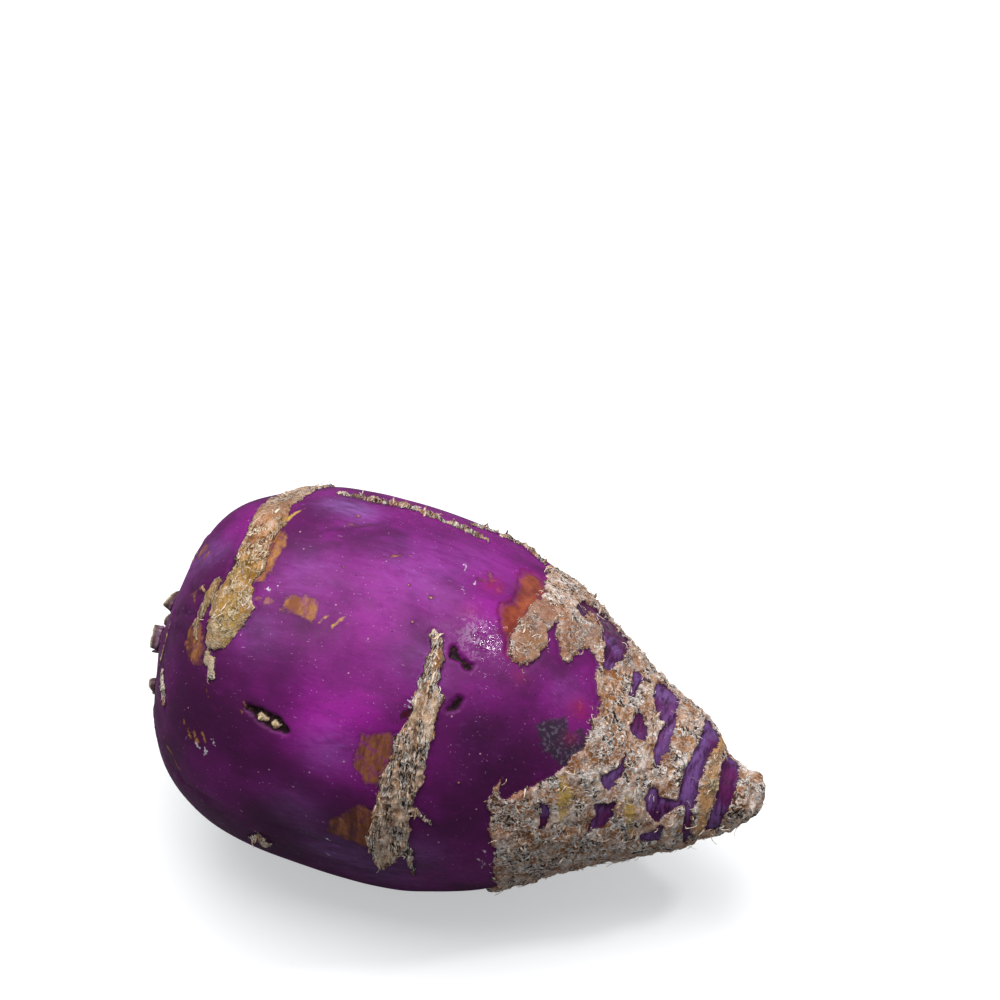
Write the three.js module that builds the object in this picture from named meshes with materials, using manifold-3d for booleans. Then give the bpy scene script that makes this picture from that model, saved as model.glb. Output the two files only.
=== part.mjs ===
// A purple kohlrabi lying on its side: the swollen stem with its corky root end, the cut stubs of the
// topmost leaf stalks round the crown, and the small bud between them.
//
// Millimetres, +Z up. The long axis runs along X with the root at +X, dipping a few degrees towards the
// root as the vegetable settles by itself. The origin is at the middle of the footprint, on the surface
// that the kohlrabi lies on.

import * as THREE from 'three';
import { mergeVertices } from 'three/addons/utils/BufferGeometryUtils.js';
import Module from 'manifold-3d';

const wasm = await Module();
wasm.setup();

const CROWN_TO_WIDEST = 49.5; // from the crown's dome to the widest ring, along the axis
const WIDEST_RADIUS = 49.2;
const WIDEST_TO_ROOT_TIP = 111.5;
const DIP_DEGREES = 5; // how far the root end hangs below the crown end
const REST_DEPTH = 1.3; // how much the flat spot underneath takes off the round
const AROUND = 64; // facets round the axis
const RINGS = 42; // rings along the axis
const DRIFT_DEGREES = -41; // the way the middle line drifts: up and to the back
const GAP = 0.3; // between a leaf stub and the skin under it
const STUB_TURN_DEGREES = 137.5; // leaves of this plant follow each other round the stem by this turn
const FIRST_STUB_DEGREES = 205;

const SKIN_PURPLE = { color: 0x6e1e6e, roughness: 0.42, metalness: 0 };
const STUB_PURPLE = { color: 0x4a2440, roughness: 0.7, metalness: 0 };
const BUD_GREEN = { color: 0x8a8a4c, roughness: 0.65, metalness: 0 };

const toRadians = THREE.MathUtils.degToRad;

// The outline from crown to root tip: [along the axis from the widest ring, radius].
// The last points are the blunt woody stump of the tap root.
const OUTLINE = [
  [-CROWN_TO_WIDEST, 0],
  [-48.6, 7.5],
  [-46.2, 16.4],
  [-40, 31.6],
  [-30, 42.4],
  [-16, 47.6],
  [4, WIDEST_RADIUS],
  [22, 48.3],
  [36, 45.6],
  [50, 40.4],
  [62, 33.4],
  [74, 26],
  [84, 20.6],
  [91, 17.8],
  [95.5, 15.1],
  [98, 12],
  [99.8, 9.8],
  [103, 8.5],
  [107.5, 7.5],
  [WIDEST_TO_ROOT_TIP - 0.8, 5],
  [WIDEST_TO_ROOT_TIP, 0],
];

// A point of the outline becomes a ring of the lathe. Rings are spaced by length along the outline.
function outlineRings() {
  const path = new THREE.CatmullRomCurve3(
    OUTLINE.map(([along, radius]) => new THREE.Vector3(radius, along, 0)),
    false,
    'centripetal',
  );
  const rings = path.getSpacedPoints(RINGS).map((point) => new THREE.Vector2(Math.max(point.x, 0), point.y));
  rings[0].x = 0;
  rings[RINGS].x = 0;
  return rings;
}

// Only the positions matter to a solid, so the seam and the poles close up once the rest is dropped.
function closedGeometry(geometry) {
  geometry.deleteAttribute('normal');
  geometry.deleteAttribute('uv');
  return mergeVertices(geometry);
}

// The middle line isn't quite straight: [along the axis, how far it has drifted].
const MIDDLE_LINE = [
  [-CROWN_TO_WIDEST, -4.5],
  [-42, -1.4],
  [-30, 0.8],
  [-4, 0.5],
  [34, -0.3],
  [62, -0.4],
  [86, -1],
  [95, -1.2],
  [99.5, -2.6],
  [103, -1.8],
  [WIDEST_TO_ROOT_TIP, -0.4],
];

function middleDrift(along) {
  const last = MIDDLE_LINE.length - 1;
  const next = Math.min(Math.max(MIDDLE_LINE.findIndex(([place]) => place > along), 1), last);
  const [[from, low], [to, high]] = [MIDDLE_LINE[next - 1], MIDDLE_LINE[next]];
  return THREE.MathUtils.lerp(low, high, THREE.MathUtils.smoothstep(along, from, to));
}

// The upper side that lies away has a fuller shoulder beside the crown, and is flatter behind it.
const LOCAL_SWELLINGS = [
  { along: -42.7, degrees: -22, reachAlong: 9, reachRound: 13, height: 6 },
  { along: -27, degrees: -32, reachAlong: 11.5, reachRound: 15.5, height: -2.8 },
  { along: 3.2, degrees: -43, reachAlong: 20, reachRound: 20, height: -1 },
];

function localSwelling(along, angle, radius) {
  return LOCAL_SWELLINGS.reduce((total, swell) => {
    const sideways = (radius * (angle - toRadians(swell.degrees))) / swell.reachRound;
    const away = (along - swell.along) / swell.reachAlong;
    return total + swell.height * Math.exp(-away * away - sideways * sideways);
  }, 0);
}

// Low broad swellings: a kohlrabi bulges between its leaf bases and is never quite round.
function swelling(along, angle) {
  const oval = 0.5 * Math.cos(2 * (angle - toRadians(DRIFT_DEGREES)));
  const lobes = -0.7 * Math.cos(3 * angle + along / 24);
  const ripples = 0.35 * Math.cos(5 * angle - along / 15 + 1);
  return oval + lobes + ripples;
}

function bulbGeometry(extra) {
  const lathe = closedGeometry(new THREE.LatheGeometry(outlineRings(), AROUND));
  lathe.rotateZ(-Math.PI / 2); // the lathe's axis becomes +X, root end first
  const place = lathe.getAttribute('position');
  const point = new THREE.Vector3();
  for (let i = 0; i < place.count; i += 1) {
    point.fromBufferAttribute(place, i);
    const radius = Math.hypot(point.y, point.z);
    if (radius > 1e-6) {
      const angle = Math.atan2(-point.y, point.z);
      const grown = radius + extra + swelling(point.x, angle) * (radius / WIDEST_RADIUS)
        + localSwelling(point.x, angle, radius);
      point.y *= grown / radius;
      point.z *= grown / radius;
    }
    const drift = middleDrift(point.x);
    point.y -= drift * Math.sin(toRadians(DRIFT_DEGREES));
    point.z += drift * Math.cos(toRadians(DRIFT_DEGREES));
    point.x += extra * (2 * point.x - WIDEST_TO_ROOT_TIP + CROWN_TO_WIDEST)
      / (WIDEST_TO_ROOT_TIP + CROWN_TO_WIDEST);
    place.setXYZ(i, point.x, point.y, point.z);
  }
  return lathe;
}

// The flat spot: everything below the rest plane is pressed up into it.
function pressFlat(geometry, restHeight) {
  const place = geometry.getAttribute('position');
  for (let i = 0; i < place.count; i += 1) {
    place.setZ(i, Math.max(place.getZ(i), restHeight));
  }
}

function toSolid(geometry) {
  return new wasm.Manifold(new wasm.Mesh({
    numProp: 3,
    vertProperties: new Float32Array(geometry.getAttribute('position').array),
    triVerts: new Uint32Array(geometry.getIndex().array),
  }));
}

function fromSolid(solid) {
  const mesh = solid.getMesh();
  const geometry = new THREE.BufferGeometry();
  geometry.setAttribute('position', new THREE.BufferAttribute(new Float32Array(mesh.vertProperties), 3));
  geometry.setIndex(new THREE.BufferAttribute(new Uint32Array(mesh.triVerts), 1));
  return geometry;
}

// Where the crown's dome stands at a distance from the axis, measured along the axis.
function domeAt(distance) {
  const rings = outlineRings();
  const outer = rings.findIndex((ring) => ring.x > distance);
  const [low, high] = [rings[outer - 1], rings[outer]];
  return THREE.MathUtils.mapLinear(distance, low.x, high.x, low.y, high.y);
}

// The crown's own middle has drifted off the axis, and what stands on it goes along.
function moveToCrown(geometry) {
  const drift = middleDrift(-CROWN_TO_WIDEST + 1);
  geometry.translate(0, -drift * Math.sin(toRadians(DRIFT_DEGREES)), drift * Math.cos(toRadians(DRIFT_DEGREES)));
}

// A leaf stalk cut off short: an oval column, wider round the crown than outwards, that narrows a little
// and leans outwards. Its foot is sunk in the crown before the skin is cut away from it.
function stubSolid(stub) {
  const footDepth = 6;
  const tall = stub.height + footDepth;
  const column = closedGeometry(new THREE.CylinderGeometry(0.43, 0.55, tall, 20, 3));
  column.translate(0, tall / 2 - footDepth, 0);
  column.scale(stub.width, 1, stub.thickness);
  column.rotateZ(Math.PI / 2); // the column's length becomes -X, out of the crown
  column.rotateY(toRadians(stub.lean)); // the cut end moves to +Z, away from the axis
  column.translate(domeAt(stub.distance), 0, stub.distance);
  column.rotateX(toRadians(stub.angle));
  moveToCrown(column);
  return toSolid(column);
}

// Older stalks stand further out and are wider. Each was cut at its own height above the dome.
const STUB_HEIGHTS = [5.4, 3.4, 1.8, 4.6, 3.2, 2.4, 3.2];
const OLD_STUB = { distance: 14, width: 8.4, thickness: 4.8, lean: 24 };
const YOUNG_STUB = { distance: 4.5, width: 5.2, thickness: 3.2, lean: 6 };

function stubList() {
  const { lerp } = THREE.MathUtils;
  return STUB_HEIGHTS.map((height, order) => {
    const youth = order / STUB_HEIGHTS.length;
    return {
      angle: FIRST_STUB_DEGREES + order * STUB_TURN_DEGREES,
      distance: lerp(OLD_STUB.distance, YOUNG_STUB.distance, youth),
      width: lerp(OLD_STUB.width, YOUNG_STUB.width, youth),
      thickness: lerp(OLD_STUB.thickness, YOUNG_STUB.thickness, youth),
      lean: lerp(OLD_STUB.lean, YOUNG_STUB.lean, youth),
      height,
    };
  });
}

// The bud: a few small leaves folded round each other, as a pointed egg standing on the dome.
function budSolid() {
  const budRadius = 2.4;
  const budHeight = 4.6;
  const sunk = 3;
  const outline = [];
  for (let step = 0; step <= 10; step += 1) {
    const up = step / 10;
    const round = Math.sin(Math.PI * Math.pow(up, 0.8)) * (1 - 0.35 * up);
    outline.push(new THREE.Vector2(step % 10 === 0 ? 0 : budRadius * round, -sunk + (budHeight + sunk) * up));
  }
  const bud = closedGeometry(new THREE.LatheGeometry(outline, 20));
  bud.rotateZ(Math.PI / 2);
  bud.translate(-CROWN_TO_WIDEST, 0, 0);
  moveToCrown(bud);
  return toSolid(bud);
}

function named(name, geometry, finish) {
  const mesh = new THREE.Mesh(geometry, new THREE.MeshStandardMaterial(finish));
  mesh.name = name;
  return mesh;
}

// The shapes are made on a level axis, then dipped and set down together.
const dip = toRadians(DIP_DEGREES);
const bulb = bulbGeometry(0);
const skin = toSolid(bulbGeometry(GAP));

const solids = [['crown_bud', budSolid(), BUD_GREEN]];
stubList().forEach((stub, order) => solids.push([`leaf_stub_${order + 1}`, stubSolid(stub), STUB_PURPLE]));

const pieces = [['bulb', bulb, SKIN_PURPLE]];
solids.forEach(([name, solid, finish]) => pieces.push([name, fromSolid(solid.subtract(skin)), finish]));
pieces.forEach(([, geometry]) => geometry.rotateY(dip));

bulb.computeBoundingBox();
const restHeight = bulb.boundingBox.min.z + REST_DEPTH;
pressFlat(bulb, restHeight);

const whole = new THREE.Box3();
pieces.forEach(([, geometry]) => {
  geometry.computeBoundingBox();
  whole.union(geometry.boundingBox);
});
const middle = whole.getCenter(new THREE.Vector3());

const kohlrabi = new THREE.Group();
pieces.forEach(([name, geometry, finish]) => {
  geometry.translate(-middle.x, -middle.y, -restHeight);
  geometry.computeVertexNormals();
  kohlrabi.add(named(name, geometry, finish));
});

export default kohlrabi;
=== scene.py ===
import math
import random

import bpy
import numpy as np
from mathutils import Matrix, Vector


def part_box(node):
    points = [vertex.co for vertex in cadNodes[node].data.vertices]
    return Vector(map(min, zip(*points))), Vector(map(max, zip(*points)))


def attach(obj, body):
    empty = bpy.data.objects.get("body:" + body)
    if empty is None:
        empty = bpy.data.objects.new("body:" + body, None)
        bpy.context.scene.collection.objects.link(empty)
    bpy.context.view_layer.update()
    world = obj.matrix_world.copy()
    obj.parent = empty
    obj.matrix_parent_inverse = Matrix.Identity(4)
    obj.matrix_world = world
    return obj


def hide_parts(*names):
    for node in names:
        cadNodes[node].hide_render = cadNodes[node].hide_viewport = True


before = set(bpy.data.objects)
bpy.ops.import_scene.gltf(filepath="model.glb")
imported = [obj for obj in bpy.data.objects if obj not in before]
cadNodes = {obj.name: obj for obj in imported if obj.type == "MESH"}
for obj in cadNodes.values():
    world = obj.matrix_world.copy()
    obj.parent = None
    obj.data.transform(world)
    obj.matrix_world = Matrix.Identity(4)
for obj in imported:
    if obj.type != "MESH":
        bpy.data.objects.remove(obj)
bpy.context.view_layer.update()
mm = 0.001

# A place on the vegetable is told by how many mm it is along from the root tip and how many degrees
# it is round from the top, positive towards the front.
axisDip = math.radians(5)
towardCrown = np.array((-math.cos(axisDip), 0, math.sin(axisDip)))
upAcross = np.array((math.sin(axisDip), 0, math.cos(axisDip)))
frontAcross = np.array((0, -1, 0))
bulbPoints = np.array([corner.co[:] for corner in cadNodes["bulb"].data.vertices])
rootTip = bulbPoints[bulbPoints[:, 0].argmax()]


def placesOf(points):
    fromTip = (points - rootTip) / mm
    along = fromTip @ towardCrown
    up = fromTip @ upAcross
    front = fromTip @ frontAcross
    return {
        "along": along,
        "around": np.degrees(np.arctan2(front, up)),
        "radius": np.hypot(front, up),
        "points": points / mm,
    }


def cornerValue(cell, seed):
    mixed = cell[:, 0] * 73856093 ^ cell[:, 1] * 19349663 ^ cell[:, 2] * 83492791 ^ seed * 26544357
    mixed = (mixed ^ mixed >> 13) * 1274126177 & 0x7FFFFFFF
    return ((mixed ^ mixed >> 15) & 0xFFFF) / 32767.5 - 1


# Soft noise from -1 to 1; the points and the size of its grains are in mm
def softNoise(points, size, seed, octaves=1):
    total = np.zeros(len(points))
    strength = 1.0
    for octave in range(octaves):
        spread = points / size * 2**octave + seed * 7.31
        cell = np.floor(spread).astype(np.int64)
        part = spread - cell
        part = part * part * (3 - 2 * part)
        for corner in range(8):
            step = np.array((corner & 1, corner >> 1 & 1, corner >> 2 & 1))
            share = np.abs(1 - step - part).prod(axis=1)
            total += strength * share * cornerValue(cell + step, seed + octave)
        strength *= 0.5
    return total


# Distance to the nearest of one loose point per cell, in cells: round crumbs once it is turned over
def crumbNoise(points, size, seed):
    spread = points / size
    cell = np.floor(spread).astype(np.int64)
    nearest = np.full(len(points), 9.0)
    for x in (-1, 0, 1):
        for y in (-1, 0, 1):
            for z in (-1, 0, 1):
                other = cell + np.array((x, y, z))
                spot = np.stack([cornerValue(other, seed + i) * 0.5 + 0.5 for i in range(3)], axis=1)
                nearest = np.minimum(nearest, np.linalg.norm(other + spot - spread, axis=1))
    return nearest


def smoothStep(value, low, high):
    part = np.clip((value - low) / (high - low), 0, 1)
    return part * part * (3 - 2 * part)


farOut = 6.0  # depths are not followed farther than this many mm
smallestRadius = 3  # nearer the axis than this, degrees round are no longer turned into less mm


def unrolled(places, middle):
    turned = (places["around"] - middle + 180) % 360 - 180
    return np.stack([places["along"], np.radians(turned)], axis=1)


# How deep in mm each point lies inside a mark; below zero it is outside
def depthInOutline(places, outline, reach=farOut):
    outline = np.array(outline, float)
    middle = 0.0 if np.ptp(outline[:, 1]) > 300 else outline[:, 1].mean()
    flat = unrolled(places, middle)
    corners = np.stack([outline[:, 0], np.radians(outline[:, 1] - middle)], axis=1)
    radius = np.maximum(places["radius"], smallestRadius)
    depth = np.full(len(flat), -reach)
    gap = np.maximum(corners.min(0) - flat, flat - corners.max(0))
    gap = gap * np.stack([np.ones(len(flat)), radius], axis=1)
    near = np.flatnonzero(gap.max(axis=1) < reach)
    if not len(near):
        return depth
    spot = flat[near]
    scale = np.stack([np.ones(len(near)), radius[near]], axis=1)
    inside = np.zeros(len(near), bool)
    nearest = np.full(len(near), reach)
    for start, end in zip(corners, np.roll(corners, -1, axis=0)):
        spans = (start[1] > spot[:, 1]) != (end[1] > spot[:, 1])
        rise = end[1] - start[1] or 1e-9
        crossing = start[0] + (spot[:, 1] - start[1]) / rise * (end[0] - start[0])
        inside ^= spans & (spot[:, 0] < crossing)
        nearest = np.minimum(nearest, distanceToLine(spot, start, end, scale)[0])
    depth[near] = np.where(inside, nearest, -nearest)
    return depth


def distanceToLine(spot, start, end, scale):
    line = (end - start) * scale
    away = (spot - start) * scale
    share = np.clip((away * line).sum(1) / np.maximum((line * line).sum(1), 1e-9), 0, 1)
    return np.linalg.norm(away - line * share[:, None], axis=1), share


# A stroke is a line of (mm along, degrees round, half width in mm)
def depthInStroke(places, stroke, reach=farOut):
    stroke = np.array(stroke, float)
    middle = stroke[:, 1].mean()
    flat = unrolled(places, middle)
    scale = np.stack([np.ones(len(flat)), np.maximum(places["radius"], smallestRadius)], axis=1)
    corners = np.stack([stroke[:, 0], np.radians(stroke[:, 1] - middle)], axis=1)
    depth = np.full(len(flat), -reach)
    for start, end, fromWidth, toWidth in zip(corners[:-1], corners[1:], stroke[:-1, 2], stroke[1:, 2]):
        distance, share = distanceToLine(flat, start, end, scale)
        depth = np.maximum(depth, fromWidth + (toWidth - fromWidth) * share - distance)
    return depth


def depthInMarks(places, outlines=(), strokes=()):
    depths = [depthInOutline(places, outline) for outline in outlines]
    depths += [depthInStroke(places, stroke) for stroke in strokes]
    return np.max(depths, axis=0)


# A round soft spot: (mm along, degrees round, radius in mm, strength)
def softSpots(places, spots):
    total = np.zeros(len(places["along"]))
    for along, around, size, strength in spots:
        turned = np.radians((places["around"] - around + 180) % 360 - 180)
        distance = np.hypot(places["along"] - along, turned * places["radius"])
        total += strength * np.exp(-((distance / size) ** 2))
    return total


# The marks on the skin, each corner (mm along, degrees round), with a half width in mm for strokes
leafScars = {
    "outlines": [
        # the strip across the shoulder
        [(131, -58), (135, -50), (138, -34), (140, -22), (141, -11), (141, -3), (140, 8), (140, 20),
         (141, 27), (140, 36), (138, 43), (135, 42), (132, 39), (130, 32), (129.5, 27), (131, 23),
         (132, 19), (131, 14), (132, 5), (131, -5), (133, -12), (132, -25), (130, -40), (129, -52)],
        # the flake standing off its crown side
        [(141.5, 18), (143, 20), (143.6, 26), (144.4, 31), (144.6, 36), (143, 41), (141.2, 42),
         (141.8, 35), (141.4, 30), (140.8, 25), (141, 21)],
        # the long crumpled strip down the front
        [(86, 19), (85, 27), (85, 38), (85, 49), (87, 52), (87, 60), (88, 66), (88, 75), (89, 86),
         (89, 92), (88, 99), (84, 104), (82, 97), (79, 92), (79, 82), (80, 73), (78, 62), (78, 47),
         (79, 41), (78, 37), (81, 35), (81, 27), (83, 20)],
    ],
    "strokes": [
        [(138, 44, 0.5), (136, 46, 1.2), (134.5, 51, 0.9)],
        [(145.5, 20, 0.3), (144.5, 22, 0.6)],
        [(133, 28, 1.0), (132.5, 34, 1.2), (134, 40, 0.8)],
        [(152, 60, 0.3), (150.5, 66, 1.0), (148.5, 71, 0.4)],
        [(79, 91, 0.9), (78, 98, 0.6), (77, 108, 0.2)],
        [(79, 74, 1.2), (77, 76, 0.9), (74, 79, 0.3)],
        [(123, -25, 0.5), (118, -25, 0.9), (113, -27, 1.5), (109, -28, 1.4), (103, -29, 1.0),
         (96, -29, 0.8), (90, -29, 0.8), (83, -28, 0.3)],
        [(91, -38, 0.3), (84, -42, 0.8), (77, -44, 0.9), (70, -38, 0.8)],
        [(120.5, 109, 0.7), (117.5, 106, 2.0), (115, 108, 1.0)],
        # the sides that lie away
        [(118, -114, 0.8), (119, -96, 2.8), (117, -78, 3.1), (118, -62, 0.9)],
        [(97, 148, 0.8), (95, 166, 2.8), (96, 188, 3.6), (98, 205, 2.4), (97, 220, 0.6)],
        [(129, 134, 0.6), (128, 146, 2.2), (130, 160, 2.6), (128, 176, 0.8)],
        [(88, -122, 0.7), (86, -104, 2.6), (88, -84, 2.9), (90, -68, 0.7)],
        [(141, -152, 0.7), (142, -132, 2.0), (140, -112, 0.6)],
    ],
}

corkEdge = [  # from the middle of the back, round the front and on to the back again
    (62, -180), (58, -164), (61, -146), (57, -128), (64, -110), (60, -92), (66, -74), (61, -58), (67, -44),
    (69, -34), (66, -25), (65, -17), (66, -6), (67, 4), (68, 11), (67, 18), (63, 20), (60, 14), (60, 4),
    (60, -6), (58, 1), (56, 8), (54, 10), (52, 2), (50, -4), (47, 0), (46, 8), (44, 21), (44, 30), (45, 41),
    (47, 47), (49, 53), (52, 58), (56, 64), (59, 67), (61, 60), (63, 68), (61, 73), (61, 82), (59, 90),
    (59, 101), (58, 120), (62, 134), (57, 150), (60, 166),
]

skinIslands = {  # bare purple skin between the cork
    "outlines": [
        [(57, -17), (57, -28), (50, -40), (44, -43), (42, -22), (43, -6), (45, -1), (47, -8), (49, -18),
         (51, -29), (51, -23), (54, -27), (54, -17)],
        [(39, -17), (36, -16), (36, 2), (38, 4), (38, -8)],
        [(33, -23), (31, -35), (27, -31), (26, -10), (25, 5), (25, 24), (26, 38), (28, 26), (28, 7),
         (30, 4), (32, -7)],
        [(34, 9), (31, 14), (31, 24), (34, 26), (35, 21), (35, 15)],
        [(39, 49), (35, 43), (35, 35), (34, 36), (34, 47), (36, 57), (38, 55)],
        [(38, 66), (34, 64), (34, 73), (36, 82), (39, 84), (38, 74)],
        [(28, 61), (27, 53), (25, 51), (24, 59), (19, 58), (19, 49), (18, 60), (22, 71), (24, 79),
         (26, 71)],
        [(27, 93), (24, 88), (23, 81), (22, 84), (22, 100), (26, 99)],
        [(19, -40), (19, -12), (19, 8), (20, 24), (20, 41), (20, 57), (18, 61), (17, 91), (16, 119),
         (15, 98), (16, 65), (16, 39), (16, 13), (15, -10), (15, -40)],
        [(12, -45), (12, -8), (12, 5), (12, 29), (11, 58), (12, 97), (9, 115), (8, 87), (7, 46), (7, 8),
         (8, -16), (8, -45)],
        [(51, 66), (49, 67), (48, 74), (49, 83), (50, 83)],
    ],
    "strokes": [
        [(17, -66, 1.3), (18, -100, 1.9), (16, -138, 1.0)],
        [(10, -70, 1.4), (10, -112, 1.9), (11, -150, 1.0)],
        [(29, -72, 1.0), (31, -98, 2.3), (29, -126, 0.8)],
        [(45, -84, 1.4), (47, -108, 3.0), (46, -132, 0.8)],
        [(36, 146, 1.0), (37, 172, 2.6), (36, 200, 0.9)],
        [(24, 138, 0.9), (25, 160, 2.1), (24, 192, 1.1)],
        [(50, 142, 1.1), (51, 163, 2.5), (50, 186, 0.8)],
    ],
}

smoothStains = {  # orange and brown films, thin and smooth
    "outlines": [
        [(133, -4), (130, -1), (128, 3), (127.6, 6), (128.6, 11), (129, 15), (130.5, 20), (133, 19),
         (133, 4)],
        [(144.6, 34), (146, 40), (145, 46), (141, 50), (138.6, 49), (138.8, 43), (140, 39), (141.6, 35)],
        [(151, -4), (153, -9), (154, -3), (152.6, 2), (151, 0)],
        [(149, 2), (150.6, 8), (152, 7), (150.4, 1)],
        [(95, 53), (88, 50), (86, 58), (87, 69), (92, 69), (95, 64)],
        [(99, 84), (94, 78), (90, 75), (87, 79), (88, 94), (95, 92), (99, 91)],
        [(123, 21), (123, 26), (118, 27), (114, 28), (113, 25), (114, 20), (118, 20)],
    ],
    "strokes": [
        [(130, 24, 0.4), (127, 24, 1.0), (125, 24, 0.4)],
        [(149.4, 24, 0.5), (148, 22, 0.9), (146, 21, 0.4)],
        [(120, -9, 0.2), (114, -9, 0.5), (107, -12, 0.2)],
        [(79, -9, 0.9), (77, -5, 0.6), (80, -4, 0.4)],
    ],
}

wetWound = [(72.5, -21), (70, -24), (66, -24), (63.5, -16), (64, -6), (65, 3), (65, 11), (65.5, 18),
            (67.5, 18), (69, 13), (72, 9), (73.6, 6), (73.4, 2), (71.4, -3), (71.4, -10), (72.4, -16)]

tenderCork = [  # smooth pink-tan lobes where the cork is young
    [(68, 12), (67, 6), (68, -1), (67, -12), (61, -10), (59, -3), (60, 4), (60, 14), (63, 21), (67, 20)],
    [(59, -7), (50, -23), (48, -16), (50, -1), (53, 8), (56, 8), (58, 1)],
]

ochrePlate = [(16, -45), (16, 0), (16, 24), (16, 47), (15, 76), (15, 104), (12, 96), (12, 62), (12, 29),
              (13, 4), (13, -23), (13, -45)]

rosyStreaks = [
    [(76, 1, 0.3), (75, -4, 0.7), (74.5, -8, 0.3)], [(77.5, -2, 0.2), (77, -6, 0.5), (76, -9, 0.3)],
    [(48, 20, 0.3), (48.4, 23, 0.9), (47, 26, 0.5)],
]

paleFlecks = [
    [(136, 74, 0.45), (134.5, 75.5, 0.35)], [(133.5, 73.5, 0.2), (132.6, 75.5, 0.55), (133.3, 77, 0.3)],
    [(131.5, 70, 0.3), (130.5, 71.5, 0.4)], [(84.9, 42.8, 0.25), (86.6, 42.4, 0.3)],
    [(84.4, 41.4, 0.25), (86.0, 41.0, 0.3)], [(83.8, 40.0, 0.25), (85.4, 39.6, 0.3)],
    [(83.2, 38.6, 0.2), (84.6, 38.2, 0.25)], [(62.5, 95, 0.25), (61, 98, 0.3), (61.5, 101, 0.2)],
    [(62, 90, 0.2), (60.6, 92, 0.3)], [(96.5, 82.5, 0.3), (95, 84, 0.2)],
    [(99.5, 94, 0.35), (98.7, 95.4, 0.3)], [(100, 103, 0.3), (99, 104.5, 0.35)],
    [(128, 20, 0.3), (127, 21.5, 0.35)], [(126.4, 17.5, 0.3), (125.6, 19, 0.2)],
    [(83, 2, 0.25), (82, 4, 0.2)], [(85, -8, 0.35), (84, -5, 0.2)], [(81, -3, 0.2), (80.4, -1, 0.3)],
]

tanStreaks = [
    [(141.5, 66.5, 0.2), (139.5, 70, 0.4), (138, 73, 0.5)],
    [(137, 66, 0.2), (135, 69, 0.5), (133, 72, 0.5)], [(137.5, 70, 0.4), (136, 73, 0.9)],
    [(105, 3, 0.3), (101, -1, 0.5), (98, -3, 0.3)], [(117, -14, 0.3), (114, -13, 0.4)],
    [(108, -16, 0.25), (106, -17, 0.3)], [(103, -14, 0.25), (101, -14, 0.35)],
    [(148, 24, 0.3), (147, 27, 0.6), (146, 29, 0.3)],
    [(137, 53, 0.15), (135, 55.5, 0.35), (133.6, 58, 0.15)],
    [(149, 83, 0.3), (146, 86, 0.5), (143, 88, 0.5), (141, 91, 0.7)],
    [(127, 54, 0.15), (125, 55, 0.35), (124, 56, 0.3)], [(126, 57, 0.15), (124.4, 57.6, 0.25)],
]

freshStreaks = [
    [(48, 54, 0.8), (46, 62, 1.9), (45.5, 72, 1.4), (46, 78, 0.5)],
    [(32, 60, 0.6), (30.5, 70, 1.5), (29.5, 82, 1.2), (29, 90, 0.4)],
    [(132, -6, 1.0), (130, -11, 0.6), (129, -13, 0.2)],
    [(112.5, 27, 0.3), (111, 24, 0.4)],
    [(109, 27, 0.5), (107, 23, 0.45)],
    [(133.5, 30, 0.5), (132.5, 37, 0.6), (134, 41, 0.4)],
]

bruisePatch = [(57, 36), (54, 31), (51, 30), (48, 32), (46, 29), (43, 35), (44, 45), (46, 50), (49, 49),
               (52, 47), (55, 42)]

pits = {
    "crater": [(123.4, 56, 0.9), (120, 57, 2.0), (116.4, 58.2, 2.4), (113.6, 59.2, 1.5)],
    "blob": [(79.5, 22, 0.9), (78.5, 24, 1.3), (76.5, 25, 0.8), (75, 26, 1.2), (74, 25, 0.4)],
    "slit": [(76.5, 40, 0.5), (75, 38, 1.1), (74, 36, 0.7)],
}

# corky grains left in the crater, and a pale one on the root end
kernels = [(119.8, 57.0, 1.2), (118.6, 57.6, 0.8), (115.8, 58.4, 1.3), (114.8, 58.2, 0.8), (13.4, 34, 1.7)]

creases = [  # shallow folds of the skin, mostly running towards the crown
    [(154, 30, 0.5), (148, 31, 0.8), (143, 34, 0.3)],
    [(153, 38, 0.4), (148, 38, 0.7), (144, 44, 0.3)],
    [(151, 20, 0.4), (146, 24, 0.5)],
    [(122, -3, 0.4), (116, -7, 0.8), (111, -11, 0.7), (106, -15, 0.4)],
    [(117, 95, 0.5), (104, 97, 0.9), (92, 95, 0.4)],
    [(104, 108, 0.5), (92, 111, 1.0), (80, 108, 0.4)],
    [(150, 92, 0.4), (140, 97, 0.8), (128, 95, 0.4)],
    [(140, 150, 0.5), (128, 158, 1.0), (112, 152, 0.4)],
    [(124, -150, 0.5), (110, -144, 0.9), (98, -150, 0.4)],
    [(150, -80, 0.4), (138, -74, 0.8), (126, -78, 0.4)],
]

# pale corky dots with a dark ring
warts = [(95, 8, 0.45), (89, 9, 0.6), (91, 19, 0.5), (112, 8, 0.35), (70, 62, 0.4)]

# Lens-shaped marks where the topmost leaves were pulled off:
# (degrees round, mm from the axis, half length, half width)
crownScars = [(50, 25.5, 9, 1.1), (188, 19, 8, 2.2), (300, 21, 8, 1.9), (115, 27, 9, 1.7),
              (240, 31, 11, 1.8), (345, 29, 8, 1.5)]

darkGap = [(86.6, 46.5, 0.3), (85.6, 44.6, 0.9), (84.5, 42.6, 0.5)]  # a dark red gash beside the long strip

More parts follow.
